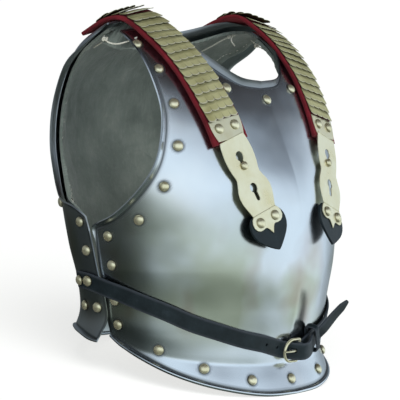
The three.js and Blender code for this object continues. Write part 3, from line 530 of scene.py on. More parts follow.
def partShape(name, rings, dirtAndShade=0.0, sides=18, sharp=40):
    # a small lathed part about +Z, in metres at its own origin: rings are (radius, height) in mm
    turns = [2 * math.pi * k / sides for k in range(sides)]
    points = [(0, 0, rings[0][1])]
    points += [(r * math.cos(t), r * math.sin(t), height) for r, height in rings for t in turns]
    points.append((0, 0, rings[-1][1]))
    ring = [[1 + r * sides + k for k in range(sides)] for r in range(len(rings))]
    faces = [q for first, second in zip(ring, ring[1:]) for q in quads(first, second)]
    faces += [(0, ring[0][(k + 1) % sides], ring[0][k]) for k in range(sides)]
    faces += [(len(points) - 1, ring[-1][k], ring[-1][(k + 1) % sides]) for k in range(sides)]
    # how dark each ring is, and a dark hidden bottom centre
    grime = [1.0, *np.repeat(np.broadcast_to(dirtAndShade, len(rings)), sides), 0.0]
    return makePiece(name, np.array(points) / 1000, faces, rivetBrass, sharp, None, {"grime": grime}, True)


# ---- plates

plates = {
    "steel": 1.5,  # mm
    "columns": 84,  # of a half plate
    "breastRows": 200,
    "backRows": 120,
    "rimSteps": 9,
    "rimFade": 0.2,  # share of an edge over which a turned rim dies away
    "sideRun": 1.8,  # how many times faster it does so up the side
    "wobble": 0.28,  # mm, what the hammer left
    "grooveWidth": 2.6,
    # painted shade, as shares of the dark steel colour: on the neck rim, on the back plate's outer face and
    # rims, and on the plates' inner faces
    "neckPaintedShade": 0.6,
    "backPaintedShade": 0.35,
    "insidePaintedShade": 0.3,
}

plainRim = table("at out up", (0, 0, 0), (1, 1.8, 0))
turnedRim = table("at out up", (0, 0, 0), (0.14, 0.7, -0.55), (0.36, 2.0, 0.6), (0.7, 4.2, 3.2),
                  (1, 5.4, 5.8))
rolledRim = table("at out up", (0, 0, 0), (0.12, 0.7, -0.5), (0.34, 1.7, 1.5), (0.62, 3.6, 2.9),
                  (0.85, 5.4, 2.3), (1, 6.3, 0.6))


def noiseOn(points, x, y, z, aside=0.0, raised=0.0):
    # swells of these lengths in mm along each axis
    return np.array([noise.noise(Vector((p[0] / x + aside, p[1] / y, p[2] / z + raised))) for p in points])


def hammered(points):
    # slow swells left by beating the plate over a stake
    return plates["wobble"] * (noiseOn(points, 52, 52, 64) + 0.22 * noiseOn(points, 21, 21, 24, 9)) * 2


def rimWeight(row, rows, u):
    # the turned rim stands along the bottom, the armholes and the neck, and dies away at the corners
    fade, v = plates["rimFade"], row / rows
    rise = lambda share: np.clip(share / fade, 0, 1)
    side = np.minimum(rise((v - sideShare) * plates["sideRun"] + fade / 2),
                      rise((1 - v) * plates["sideRun"]))
    weight = np.where(row == 0, rise(1 - u + fade / 2), np.where(row == rows, rise(neckShare - u), side))
    return weight * weight * (3 - 2 * weight)


def plateShell(plate, columns, rows, inside, thickness, rimmed=False, reach=lambda v: 1.0, bottom=0.0,
               top=1.0, relief=None, innerRelief=None):
    # a closed wall on the plate's form or "inside" mm behind it, with or without its turned rims
    rowAt, columnAt = np.meshgrid(np.arange(rows + 1), np.arange(-columns, columns + 1), indexing="ij")
    v = bottom + (top - bottom) * rowAt / rows
    angle, height = patch(plate, np.abs(columnAt) / columns * reach(v), v)
    angle, height = (angle * np.sign(columnAt)).ravel(), height.ravel()
    normal = plateNormal(plate, angle, height)
    outer = onPlate(plate, angle, height, np.full(angle.shape, -inside))
    if relief:
        outer = outer + normal * relief(outer)[:, None]
    inner = outer - normal * thickness
    if innerRelief:
        inner = inner - normal * innerRelief(inner)[:, None]
    size, points = len(outer), [outer, inner]
    faces, loop = wallFaces(rows + 1, 2 * columns + 1)
    edge, lift = outer[loop], normal[loop]
    outward = unit(np.cross(unit(np.roll(edge, -2, 0) - np.roll(edge, 2, 0)), lift) * -plate["facing"])
    outerRing, innerRing = loop, [i + size for i in loop]
    row = rowAt.ravel()[loop]
    if rimmed:
        weight = rimWeight(row, rows, np.abs(columnAt.ravel()[loop]) / columns)

        def profile(at, key):
            rim = np.where(row == 0, smooth(rolledRim, "at", key, at), smooth(turnedRim, "at", key, at))
            return (1 - weight) * smooth(plainRim, "at", key, at) + weight * rim

        def rimPoints(out, up):
            return edge + outward * out[:, None] + lift * up[:, None]

        count, ahead = len(loop), 0.05
        for step in range(1, plates["rimSteps"] + 1):
            at = step / plates["rimSteps"]
            out, up = profile(at, "out"), profile(at, "up")
            rightward, upward = (profile(min(at + ahead, 1), key) - profile(at - ahead, key)
                                 for key in ("out", "up"))
            run = np.hypot(rightward, upward)
            points.append(rimPoints(out, up))
            points.append(rimPoints(out + upward / run * thickness, up - rightward / run * thickness))
            start = 2 * size + (step - 1) * 2 * count
            outerNext, innerNext = (list(range(first, first + count)) for first in (start, start + count))
            faces += quads(outerNext, outerRing) + quads(innerRing, innerNext)
            outerRing, innerRing = outerNext, innerNext
    faces += quads(innerRing, outerRing)
    if plate["facing"] > 0:
        faces = [f[::-1] for f in faces]
    return np.concatenate(points), faces, {"edge": edge, "size": size, "angle": angle, "height": height,
                                           "neck": row == rows}


def nearest(points, targets):
    # distance from each point to the nearest target, and which that is
    away, which = [], []
    for i in range(0, len(points), 2000):
        apart = np.linalg.norm(points[i:i + 2000, None] - targets[None], axis=-1)
        away.append(apart.min(1))
        which.append(apart.argmin(1))
    return np.concatenate(away), np.concatenate(which)


rivets = {
    "radius": 6.0,
    "height": 3.8,
    "breast": table("angle height", (23.2, 24), (43.3, 40), (62, 61), (81.6, 88), (82.8, 116),
                    (82.7, 156), (83.4, 189), (67.4, 208.5), (55.6, 246), (48, 291), (46.7, 338),
                    (48.7, 377), (54.9, 408), (20.5, 356)),
    "breastMiddle": (20, 343),
    "back": table("angle height", (75.4, 108), (90, 107), (85.3, 172), (81.9, 204.5), (55.3, 224.5)),
}


def rivetHead():
    r, h = rivets["radius"], rivets["height"]
    dome = [(r * math.cos(a), h * math.sin(a) + 0.25) for a in np.linspace(0.12, 1.35, 6)]
    # the head is darker at its foot, where it meets the plate, and its hidden bottom is dark
    return partShape("rivet_head", [(r * 0.97, -0.9), (r, -0.3)] + dome, [1, 1, 0.35] + [0.0] * 5, 20)


def makePlate(name, plate, steps, rows, middle, node, paintedFaceShade):
    # the same rivets stand on both sides of the centre line, and "middle" has those on it
    angle = np.concatenate([rows["angle"], -rows["angle"], np.zeros(len(middle))])
    height = np.concatenate([rows["height"], rows["height"], middle])
    points, faces, facts = plateShell(plate, plates["columns"], steps, 0, plates["steel"], True,
                                      relief=hammered)
    centres = platePoint(plate, angle, height)
    toEdge, _ = nearest(points, facts["edge"])
    toRivet, _ = nearest(points, centres)
    # darker in the rims' grooves and round the rivets
    grime = np.maximum(np.clip(1.25 - toEdge / plates["grooveWidth"], 0, 1) ** 1.5 * 0.7,
                       np.clip(1 - (toRivet - rivets["radius"]) / 3, 0, 1) * 0.8)
    size = facts["size"]
    # painted shade: the back plate's outer face is darkened all over
    grime[:size] = np.maximum(grime[:size], paintedFaceShade)
    # painted shade on the plates' inner faces
    grime[size:2 * size] = plates["insidePaintedShade"]
    # painted shade on the neck rim, and on all of the back plate's rims
    rim = np.tile(np.where(facts["neck"], plates["neckPaintedShade"], paintedFaceShade), 2 * plates["rimSteps"])
    grime[2 * size:] = np.maximum(grime[2 * size:], rim)
    shell = makePiece(name, points, faces, steel, 40, "root", {"grime": grime})
    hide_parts(node)
    normals = plateNormal(plate, angle, height)
    up = np.tile([0.0, 0.0, 1.0], (len(angle), 1))
    heads = scatter(name + "_rivets", rivetHead(), centres + normals * 0.1, normals, up, rivetBrass,
                    0.04, (0.05, 0.05, 3.0), 7)


makePlate("breast_shell", breast, plates["breastRows"], rivets["breast"], rivets["breastMiddle"],
          "breastplate", 0.0)
makePlate("back_shell", back, plates["backRows"], rivets["back"], (), "backplate", plates["backPaintedShade"])
print("plates and rivets made")


# ---- linings

# gap is mm behind the plate, and lowReach and reach are the shares of the plate's width that are covered,
# below and above the share "low" of its height
linings = {
    "breast": {"gap": 2.4, "lowReach": 1.035, "reach": 0.965, "bottom": 0.05, "top": 0.985},
    "back": {"gap": 5.0, "lowReach": 0.93, "reach": 0.93, "bottom": 0.09, "top": 0.99},
    "low": 0.3,
    "canvas": 2.0,
    "hem": 3.5,  # from the edge to the middle of the rolled hem
    "gather": 8.5,  # mm between puckers
    "puckerReach": 12.0,
    "fold": 4.0,  # heights in mm
    "crumple": 0.5,
    "pucker": 0.9,
    "hemRise": 1.5,
    "columns": 60,
    "rows": 100,
    "stitches": 110,  # down one edge
    "seamShare": 0.045,
}


def clothMap(piece, flat):
    # the weave follows the sheet, with the same place on both of its faces
    layer = piece.data.uv_layers.new(name="cloth")
    index = np.zeros(len(piece.data.loops), np.int32)
    piece.data.loops.foreach_get("vertex_index", index)
    layer.data.foreach_set("uv", np.concatenate([flat, flat])[index].astype(np.float32).ravel())


def stitchThread():
    return partShape("stitch", [(0.05, -1.5), (0.34, -1.3), (0.42, 0), (0.34, 1.3), (0.05, 1.5)], sides=8)


def makeLining(name, plate, kind, node):
    own = linings[kind]

    def wavyReach(v):
        reach = np.where(v < linings["low"], own["lowReach"], own["reach"])
        return reach + 0.005 * np.sin(v * 95) + 0.003 * np.sin(v * 41)

    def cloth(points):
        # folds across the sheet, a rolled hem and puckers where the drawstring pulls it in
        fold = noiseOn(points, 34, 34, 75, raised=5)
        edge = facts["edge"]
        steps = np.cumsum(np.linalg.norm(edge - np.roll(edge, 1, 0), axis=1))
        away, which = nearest(points, edge)
        pucker = np.sin(2 * np.pi * steps[which] / linings["gather"] + 2 * fold)
        pucker = pucker * np.exp(-away / linings["puckerReach"])
        hem = np.exp(-((away - linings["hem"]) / 2.0) ** 2)
        crumple = noiseOn(points, 11, 11, 19)
        return (linings["fold"] * np.abs(fold) + linings["crumple"] * crumple
                + linings["pucker"] * pucker + linings["hemRise"] * hem)

    inside = plates["steel"] + own["gap"]
    settings = (plate, linings["columns"], linings["rows"], inside, linings["canvas"], False, wavyReach,
                own["bottom"], own["top"])
    facts = plateShell(*settings)[2]
    points, faces, _ = plateShell(*settings, innerRelief=cloth)
    made = makePiece(name, points, faces, canvas, 60)
    clothMap(made, np.stack([np.radians(facts["angle"]) * 0.15, facts["height"] / 1000], -1))
    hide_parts(node)
    v = np.linspace(own["bottom"] + 0.03, own["top"] - 0.03, linings["stitches"])
    angle, height = patch(plate, wavyReach(v) - linings["seamShare"], v)
    angle, height = np.concatenate([angle, -angle]), np.concatenate([height, height])
    normal = plateNormal(plate, angle, height)
    seam = onPlate(plate, angle, height, np.full(angle.shape, -inside)) - normal * linings["canvas"]
    seam = seam - normal * (cloth(seam) + 0.1)[:, None]
    threads = scatter(name + "_stitches", stitchThread(), seam, unit(np.gradient(seam, axis=0)), -normal,
                      cord, 0.1, (0.08, 0.08, 0.5), 3)


makeLining("breast_quilt", breast, "breast", "breast_lining")
makeLining("back_quilt", back, "back", "back_lining")
print("linings made")


# ---- curves and bands

def centripetal(points, each=40):
    # smooth curve through the points, with its running length
    points = np.asarray(points, float)
    ends = np.concatenate([[2 * points[0] - points[1]], points, [2 * points[-1] - points[-2]]])
    s = np.linspace(0, 1, each, endpoint=False)[:, None]
    found = []
    for p0, p1, p2, p3 in zip(ends, ends[1:], ends[2:], ends[3:]):
        d0, d1, d2 = (max(np.linalg.norm(b - a), 1e-4) ** 0.5 for a, b in ((p0, p1), (p1, p2), (p2, p3)))
        m1 = ((p1 - p0) / d0 - (p2 - p0) / (d0 + d1) + (p2 - p1) / d1) * d1
        m2 = ((p2 - p1) / d1 - (p3 - p1) / (d1 + d2) + (p3 - p2) / d2) * d1
        found.append(hermite(s, p1, p2, m1, m2))
    line = np.concatenate(found + [points[-1:]])
    run = np.concatenate([[0], np.cumsum(np.linalg.norm(np.diff(line, axis=0), axis=1))])
    return {"line": line, "run": run, "length": run[-1]}


def along(curve, share):
    at = np.asarray(share, float) * curve["length"]
    return np.stack([np.interp(at, curve["run"], curve["line"][:, k]) for k in range(3)], -1)


def heading(curve, share):
    share = np.asarray(share, float)
    return unit(along(curve, np.minimum(share + 0.003, 1)) - along(curve, np.maximum(share - 0.003, 0)))


def squareTo(hint, tangent):
    return unit(hint - tangent * np.sum(hint * tangent, -1, keepdims=True))


def bandSection(width, thickness, corner, across=8):
    # closed loop of a band's section, its underside at 0, with rounded edges; the last column is edge wear
    aside, low, high = width / 2 - corner, corner, thickness - corner
    points = []
    for x, y, quarter in ((aside, low, -1), (aside, high, 0), (-aside, high, 1), (-aside, low, 2)):
        for t in quarter * np.pi / 2 + np.linspace(0, np.pi / 2, 4):
            points.append((x + corner * math.cos(t), y + corner * math.sin(t), 1.0))
        if quarter in (0, 2):
            points += [(x * (1 - 2 * k / across), thickness if quarter == 0 else 0.0, 0.0)
                       for k in range(1, across)]
    return np.array(points)


def roundSection(radius, sides=12):
    turn = 2 * np.pi * np.arange(sides) / sides
    return np.stack([np.cos(turn) * radius, np.sin(turn) * radius, np.zeros(sides)], -1)


def sweep(centres, acrosses, normals, section, widths=None, closed=False):
    count, ring = len(centres), len(section)
    acrosses, normals = (np.broadcast_to(v, (count, 3)) for v in (acrosses, normals))
    widths = np.ones(count) if widths is None else widths
    ahead = np.dot(np.cross(acrosses[0], normals[0]), centres[1] - centres[0])
    order = section if ahead > 0 else section[::-1]
    points = (centres[:, None] + acrosses[:, None] * (order[None, :, 0:1] * widths[:, None, None])
              + normals[:, None] * order[None, :, 1:2]).reshape(-1, 3)
    rings = [list(range(i * ring, (i + 1) * ring)) for i in range(count)]
    faces = [q for first, second in zip(rings, rings[1:] + rings[:1] * closed)
             for q in quads(first, second)]
    if not closed:
        faces += [tuple(rings[0][::-1]), tuple(rings[-1])]
    return points, faces, np.tile(order[:, 2], count)


def tube(line, radius, sides=10, closed=False):
    # a round cord or wire along a polyline, turned as little as possible
    line = np.asarray(line, float)
    ahead = unit(np.roll(line, -1, 0) - np.roll(line, 1, 0)) if closed else unit(np.gradient(line, axis=0))
    hint = np.array([0.0, 0.0, 1.0]) if abs(ahead[0][2]) < 0.9 else np.array([1.0, 0.0, 0.0])
    across = []
    for t in ahead:
        hint = squareTo(hint, t)
        across.append(hint)
    across = np.array(across)
    return sweep(line, across, np.cross(ahead, across), roundSection(radius, sides), closed=closed)


def makeSwept(name, swept, finish, sharp=60, body=None):
    points, faces, wear = swept
    return makePiece(name, points, faces, finish, sharp, body, {"edge": wear} if wear.any() else None)


def joined(name, *pieces):
    # several pieces of one material as one
    with bpy.context.temp_override(active_object=pieces[0], selected_editable_objects=list(pieces),
                                   object=pieces[0], selected_objects=list(pieces)):
        bpy.ops.object.join()
    pieces[0].name = name
    pieces[0].data.name = name
    return pieces[0]


# ---- shoulder straps

straps = {
    "width": 55.0,
    "felt": 3.0,
    "feltPile": 1.6,  # loose wool under the felt, towards the plate
    "feltCorner": 1.6,
    "fuzz": 0.22,
    "lumps": 0.3,
    "brass": 1.2,
    "endPlateTop": 27.0,  # from the strap's lower front end
    "endPlateFoot": 3.0,
    "frontLean": 0.13,
    "backLean": -0.14,
    "sideDrop": -0.2,
    "onBreast": table("x z lift", (91.5, 294, 3), (95, 318, 3.2), (99.5, 343, 3.2), (103.5, 368, 3.4),
                      (107, 391, 3.8), (110, 409, 4.6)),
    "overShoulder": ((112, -17, 432.5), (113, -1, 440)),
    "onBack": table("x height lift", (113, 457, 4.8), (113, 446, 4), (112, 435, 3.6), (112, 427, 3.4)),
}


def strapCurve(side):
    front = [onPlateAtX(breast, *row) for row in rowsOf(straps["onBreast"])]
    rear = [onPlateAtX(back, *row) for row in rowsOf(straps["onBack"])]
    return centripetal(np.array(front + list(straps["overShoulder"]) + rear) * (side, 1, 1))


strapCurves = {side: strapCurve(side) for side in (-1, 1)}


def strapFrame(side, distance):
    # place, direction across, direction along and normal at distances from the lower front end
    curve = strapCurves[side]
    share = np.asarray(distance, float) / curve["length"]
    leanNow = straps["frontLean"] + (straps["backLean"] - straps["frontLean"]) * share
    drop = np.full_like(share, straps["sideDrop"] * side)
    hint = np.stack([np.ones_like(share), leanNow * side, drop], -1)
    tangent = heading(curve, share)
    across = squareTo(hint, tangent)
    return along(curve, share), across, tangent, np.cross(across, tangent)


def makeFelt(side, hand):
    place, across, _, normal = strapFrame(side, np.linspace(0, strapCurves[side]["length"], 130))
    section = bandSection(straps["width"], straps["felt"] + straps["feltPile"], straps["feltCorner"], 16)
    points, faces, _ = sweep(place - normal * straps["feltPile"], across, normal, section)
    fuzz = noiseOn(points, 5, 5, 5) * straps["fuzz"] + noiseOn(points, 17, 17, 17) * straps["lumps"]
    ring = len(section)
    outward = unit(points - np.repeat(points.reshape(-1, ring, 3).mean(1), ring, 0))
    made = makePiece("felt_pad_" + hand, points + outward * fuzz[:, None], faces, felt, 60)
    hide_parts("strap_felt_" + hand)


scales = {
    "width": 49.0,
    "length": 17.5,
    "pitch": 11.3,
    "count": 18,
    "tilt": 6.0,  # degrees
    "overlap": 1.5,  # mm that the first scale shares with the end plate
    "seat": 0.9,  # above the felt
    "lobes": 4,
    "lobeDepth": 2.2,
    "brass": 0.7,
    "pillow": 0.35,
    "curl": 0.5,
    "lip": 0.3,  # the shears' burr, along the scalloped edge
    "across": 49,  # points over the width and down the length
    "down": 12,
}


def scaleLeaf(name):
    # one brass scale: root along +X at y = 0, scalloped edge towards +Y
    s = scales
    top, wear, dirtAndShade = [], [], []
    for j in range(s["down"]):
        share = 1 - (1 - j / (s["down"] - 1)) ** 1.7
        for a in np.linspace(-1, 1, s["across"]):
            lobe = ((a + 1) / 2 * s["lobes"]) % 1.0 * 2 - 1 if a < 1 else 1.0
            reach = s["length"] - s["lobeDepth"] * abs(lobe) ** 2.4
            y = reach * share
            inset = 3.0 * max(0.0, 1 - y / 4)
            z = s["pillow"] * (1 - lobe * lobe) * share**2 - s["curl"] * a * a * (0.4 + 0.6 * share)
            z += s["lip"] * max(0.0, 1 - (reach - y) / 1.5)
            top.append((a * (s["width"] / 2 - inset), y, z + s["brass"]))
            # paler along the scalloped edge: rubbed brass, and a painted highlight where the rolled edge
            # catches the light
            wear.append(min(1.0, max(0.0, 1.5 - (reach - y) / 0.9)))
            # painted shadow: a dark band where the next scale's edge lies over this one, and dark notches
            # between the lobes
            dirtAndShade.append(max(0.45 * math.exp(-((y - 6.6) / 1.3) ** 2),
                            0.75 * abs(lobe) ** 20 * share**4 if abs(a) < 0.99 else 0.0))
    top, count = np.array(top), len(top)
    faces, loop = wallFaces(s["down"], s["across"])
    faces += quads([i + count for i in loop], loop)
    points = np.concatenate([top, top - (0, 0, s["brass"])]) / 1000
    # painted shade: the underside is dark all over
    return makePiece(name, points, faces, scaleBrass, 50, None,
                     {"edge": wear + [0.4] * count, "grime": dirtAndShade + [1.0] * count}, standing=True)


def makeScales(side, hand):
    s = scales
    distance = straps["endPlateTop"] - s["overlap"] + s["length"] + np.arange(s["count"]) * s["pitch"]
    place, across, _, normal = strapFrame(side, distance)
    tilt = math.radians(-s["tilt"])
    facing = normal * math.cos(tilt) + np.cross(across, normal) * math.sin(tilt)
    seats = place + normal * (straps["felt"] + s["seat"])
    made = scatter("scales_" + hand, scaleLeaf("scale_leaf_" + hand), seats, facing, -across, scaleBrass,
                   0.004, (0.02, 0.03, 0.012), 11 + side)
    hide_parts(*[f"scale_{hand}_{i + 1:02d}" for i in range(s["count"])])


endPlate = {
    "outline": ((20.3, 0), (21.4, -5), (22.6, -12), (23.3, -20), (23, -27), (21.8, -35), (19.6, -43),
                (19.4, -46.5), (21.6, -52), (24.8, -58.5), (26.4, -65), (25.8, -72), (23.6, -79),
                (21, -85.5), (19.2, -90.5), (22.4, -93.4), (24.4, -97.6), (24.2, -102.6), (21.6, -106.4),
                (17.6, -108.4), (12.8, -108.6), (9, -107.8), (6.4, -108.4), (4.2, -110.6), (2, -114)),
    "point": -117.0,
    "topOutline": ((20.3, -0.6), (21.6, 3), (23.2, 8), (24.3, 15), (24.6, 24)),
    "keyholes": (-22.0, -61.0),
    "round": 5.6,
    "slot": 2.8,
    "slotLength": 15.5,
    "creases": ((0.0, 20.2), (-90.5, 19.1)),  # y and half width
    "crease": 0.55,
    "bevel": 0.3,
    "rivetAside": 12.8,
    "rivetRows": (-100, 14),  # on the flat part and on the top
    "turn": 8.5,  # degrees, towards the middle of the chest
    "facing": (0.17, -0.91, 0.24),
    "gap": 0.5,  # to the felt
    "studDrop": 12.0,  # below the upper keyhole's centre
    "studGap": 0.35,  # to the chest
}


def keyhole(centreY):
    e = endPlate
    foot = centreY - e["slotLength"] + e["slot"]
    return [(math.cos(t) * r, y + math.sin(t) * r)
            for r, y, turns in ((e["round"], centreY, (-60, 240, 26)), (e["slot"], foot, (180, 360, 9)))
            for t in np.radians(np.linspace(*turns))]


def bothSides(rows, *point):
    # a symmetric outline from its right half, and the y of a point between the halves
    return [(-x, y) for x, y in rows] + [(0.0, y) for y in point] + [(x, y) for x, y in reversed(rows)]


def flatSheet(name, loops, thickness, bevel, matrix, finish):
    # a flat plate cut to an outline with holes, its lower face at z = 0, edges slightly rounded
    data = bpy.data.curves.new(name, "CURVE")
    data.dimensions = "2D"
    data.fill_mode = "BOTH"
    data.extrude = thickness / 2 - bevel
    data.bevel_depth = bevel
    data.bevel_resolution = 2
    data.offset = -bevel
    for loop in loops:
        spline = data.splines.new("POLY")
        spline.points.add(len(loop) - 1)
        for point, (x, y) in zip(spline.points, loop):
            point.co = (x, y, 0, 1)
        spline.use_cyclic_u = True
    source = addObject(name + "_curve", data)
    mesh = evaluated(source)
    bpy.data.objects.remove(source)
    mesh.transform(standMatrix @ matrix @ Matrix.Translation((0, 0, thickness / 2)))
    mesh.materials.clear()
    mesh.materials.append(finish)
    mesh.name = name
    mesh.shade_smooth()
    mesh.set_sharp_from_angle(angle=math.radians(35))
    return addObject(name, mesh)


def basis(x, y, z, origin):
    made = Matrix((x, y, z)).transposed().to_4x4()
    made.translation = Vector(origin)
    return made


def endPlateFrame(side):
    place, across, _, normal = (v[0] for v in strapFrame(side, [straps["endPlateFoot"]]))
    facing = unit(np.array(endPlate["facing"]) * (side, 1, 1))
    across = squareTo(across, facing)
    turn = math.radians(-endPlate["turn"] * side)
    across = across * math.cos(turn) + np.cross(facing, across) * math.sin(turn)
    return place + normal * (straps["felt"] + endPlate["gap"]), across, np.cross(facing, across), facing


def makeEndPlate(side, hand):
    e, t = endPlate, straps["brass"]
    origin, across, up, facing = endPlateFrame(side)
    flat = basis(across, up, facing, origin)
    body = flatSheet("body", [bothSides(e["outline"], e["point"])] + [keyhole(y) for y in e["keyholes"]],
                     t, e["bevel"], flat, brass)
    near, far, middle = (strapFrame(side, [d]) for d in (2, 20, 14))
    upTop = unit((far[0] - near[0])[0])
    topNormal = unit(np.cross(middle[1][0], upTop))
    bent = basis(middle[1][0], upTop, topNormal, origin)
    top = flatSheet("top", [bothSides(e["topOutline"])], t, e["bevel"], bent, brass)
    creases = []
    for y, half in e["creases"]:
        line = [flat @ Vector((x, y, t)) for x in np.linspace(-half, half, 12)]
        creases.append(makeSwept("crease", tube(line, e["crease"], 8), brass))
    made = joined("strap_plate_" + hand, body, top, *creases)
    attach(made, "root")
    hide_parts("end_plate_" + hand)
    seats = [matrix @ Vector((x, y, t + 0.1)) for matrix, y in zip((flat, bent), e["rivetRows"])
             for x in (-e["rivetAside"], e["rivetAside"])]
    normals = np.array([facing, facing, topNormal, topNormal])
    heads = scatter("strap_plate_rivets_" + hand, rivetHead(), np.array(seats), normals,
                    np.tile(across, (4, 1)), rivetBrass, 0.03, (0.04, 0.04, 3.0), 21 + side)


strapTip = {
    "outline": ((20.5, -91), (24.2, -94), (27.2, -98), (28.8, -102.5), (29, -107), (27.9, -112.5),
                (25.2, -117.6), (21, -122.4), (15.6, -127), (9.4, -131.6), (4, -135.2)),
    "point": -137.2,
    "gap": 0.35,
    "bevel": 0.7,
}


def makeStrapTip(side, hand):
    origin, across, up, facing = endPlateFrame(side)
    matrix = basis(across, up, facing, origin - facing * (straps["felt"] + strapTip["gap"]))
    made = flatSheet("leather_tip_" + hand, [bothSides(strapTip["outline"], strapTip["point"])],
                     straps["felt"], strapTip["bevel"], matrix, leather)
    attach(made, "root")
    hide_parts("strap_tip_" + hand)


def makeStuds():
    # in the upper keyhole's slot, standing on the chest
    frames = [endPlateFrame(side) for side in (-1, 1)]
    down = endPlate["keyholes"][0] - endPlate["studDrop"]
    seats = np.array([origin + up * down for origin, _, up, _ in frames])
    normals, acrosses = (np.array([f[k] for f in frames]) for k in (3, 1))
    x, _, z = seats[0]
    gap = np.dot(seats[0] - onPlateAtX(breast, x, z, 0), normals[0]) - endPlate["studGap"]
    t = straps["brass"]
    head = partShape("stud", [(4, -gap), (4, -gap + 1), (2.2, -gap + 1.6), (2.2, t + 0.3), (4.6, t + 0.4),
                              (5, t + 1.1), (4.7, t + 2.2), (3.4, t + 3.4), (1.6, t + 3.9), (0.4, t + 4.0)])
    made = scatter("strap_studs", head, seats, normals, acrosses, rivetBrass)
    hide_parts("stud_right", "stud_left")


shoulderGather = {
    "hem": ((147, 20, 411), (142.5, -6, 401), (133.5, -33, 408)),  # back, middle and front
    "top": ((116, 17, 432), (112, -8, 431), (106, -36, 417)),
    "flat": (75, 36),  # mm, along the hem and up from it
    "puckers": 7,
    "pucker": 1.5,
    "ripples": 31,
    "canvas": 1.6,
    "across": 97,
    "steps": 24,
}

drawstring = {
    "radius": 0.9,
    "path": ((146, 13.5, 412), (143.5, 17, 416.5), (138, 19, 420.5), (128, 21, 424.2), (117, 23, 425),
             (108.5, 27, 422.5), (105.5, 38, 418), (104, 52, 411.5), (102.5, 69, 404.5)),
    "ends": (((146, 13.5, 412), (149, 6, 408), (147, -4, 406), (145, -16, 408), (139, -28, 413)),
             ((108.5, 27, 422.5), (104, 22, 421), (101, 19, 416), (102, 15, 410.5))),
    "knots": ((146, 13.5, 412), (108.5, 27, 422.5)),
    "knot": 3.4,
}


def throughThree(points, t):
    # parabola through three points, at t from 0 to 1
    first, second, third = (np.array(p, float) for p in points)
    t = t[:, None]
    return first * (1 - t) * (1 - 2 * t) + second * 4 * t * (1 - t) + third * t * (2 * t - 1)


def makeGather(side, hand):
    # lining canvas drawn up in puckers across the armhole's top, between the two plates
    g = shoulderGather
    t, w = np.linspace(0, 1, g["across"]), np.linspace(0, 1, g["steps"])[:, None, None]
    hem, top = (throughThree(g[key], t) * (side, 1, 1) for key in ("hem", "top"))
    outward = unit(np.cross(top - hem, np.gradient(hem, axis=0))) * side
    wave = np.cos(2 * np.pi * g["puckers"] * t + 1.5 * w[..., 0])
    fold = g["pucker"] * (wave + 0.5 * np.cos(g["ripples"] * t))
    bulge = fold * (0.35 + 0.65 * w[..., 0]) + 3.0 * np.sin(np.pi * w[..., 0])
    front = (hem * (1 - w) + top * w + outward[None] * bulge[..., None]).reshape(-1, 3)
    rear = front - np.tile(outward, (g["steps"], 1)) * g["canvas"]
    faces, loop = wallFaces(g["steps"], g["across"])
    faces += quads([i + len(front) for i in loop], loop)
    made = makePiece("gathered_canvas_" + hand, np.concatenate([front, rear]), faces, canvas, 60)
    long, tall = g["flat"]
    flat = np.stack([np.tile(t * long, g["steps"]), np.repeat(w.ravel() * tall, g["across"])], -1)
    clothMap(made, flat / 1000)


def knotLine(centre, size):
    # overhand knot drawn tight
    t = np.linspace(0, 2 * np.pi, 40, endpoint=False)
    loop = np.stack([np.sin(t) + 1.6 * np.sin(2 * t), np.cos(t) - 1.6 * np.cos(2 * t),
                     -1.4 * np.sin(3 * t)], -1)
    return np.array(centre) + loop * size / 3


def makeDrawstring(side, hand):
    d, turned = drawstring, np.array([side, 1.0, 1.0])
    swept = [tube(centripetal(np.array(path, float) * turned, 10)["line"], d["radius"], 8)
             for path in (d["path"],) + d["ends"]]
    swept += [tube(knotLine(np.array(centre) * turned, d["knot"]), d["radius"] * 1.25, 8, closed=True)
              for centre in d["knots"]]
    made = joined("drawstring_" + hand, *[makeSwept("string", s, cord) for s in swept])
    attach(made, "root")


for side, hand in ((-1, "right"), (1, "left")):
    makeFelt(side, hand)
    makeDrawstring(side, hand)
    makeScales(side, hand)
    makeEndPlate(side, hand)
    makeStrapTip(side, hand)
makeGather(-1, "right")  # the canvas has slipped down at the right shoulder
makeStuds()
print("shoulder straps made")


# ---- waist belt

belt = {
    "width": 20.0,
    "leather": 2.5,
    "corner": 0.9,
    "lift": 1.8,
    "girth": (170, 150),  # half width and half depth of the ellipse that it faces out from
    "tilt": -0.0011,
    "onBack": table("angle height lift", (72, 138.5, 1.8), (79, 138, 1.8), (86, 136.8, 1.8)),
    "onBreast": table("angle height lift", (84, 129.5, 4.6), (77, 123.5, 2.6), (69, 116, 2), (58, 105, 2),
                      (47.6, 92.5, 2), (37, 82, 2), (26, 71.5, 2.4), (15, 63.5, 2.6)),
    "throughBuckle": table("x z lift", (-25, 58, 2.2), (-17, 56, 2.2), (-10.5, 55, 3.6), (-3, 54.5, 10.5),
                           (5, 54.5, 16), (12, 55.2, 17), (20, 57, 15.6), (29, 61, 12), (37, 65.5, 9.6)),
    "freeEnd": ((49, -155, 75.5), (61, -161.5, 90), (74, -172, 107)),
    "holes": ((-44, 63.5), (-26, 59.0)),
    "hole": 1.7,
    "rivetAngles": (77, 86),
    "rivetHeight": 138.0,
}

buckle = {
    "x": -5.0,
    "z": 55.0,
    "lift": 9.0,
    "wire": 1.7,
    "halfHeight": 13.0,
    "bar": 12.0,
    "reach": 13.0,
    "corner": 2.0,
    "clearance": 0.35,
    "pin": 1.45,
    "pinBow": 1.2,
    "pinTaper": 0.4,  # share of its thickness
    "pinSlot": (4.6, 8.0, 1.2),  # width, depth and corner of its slot in the leather
    "eye": 2.9,
    "eyeWire": 1.1,
}


def beltSide(side):
    return [onPlate(plate, side * a, h, lift) for plate, key in ((back, "onBack"), (breast, "onBreast"))
            for a, h, lift in rowsOf(belt[key])]


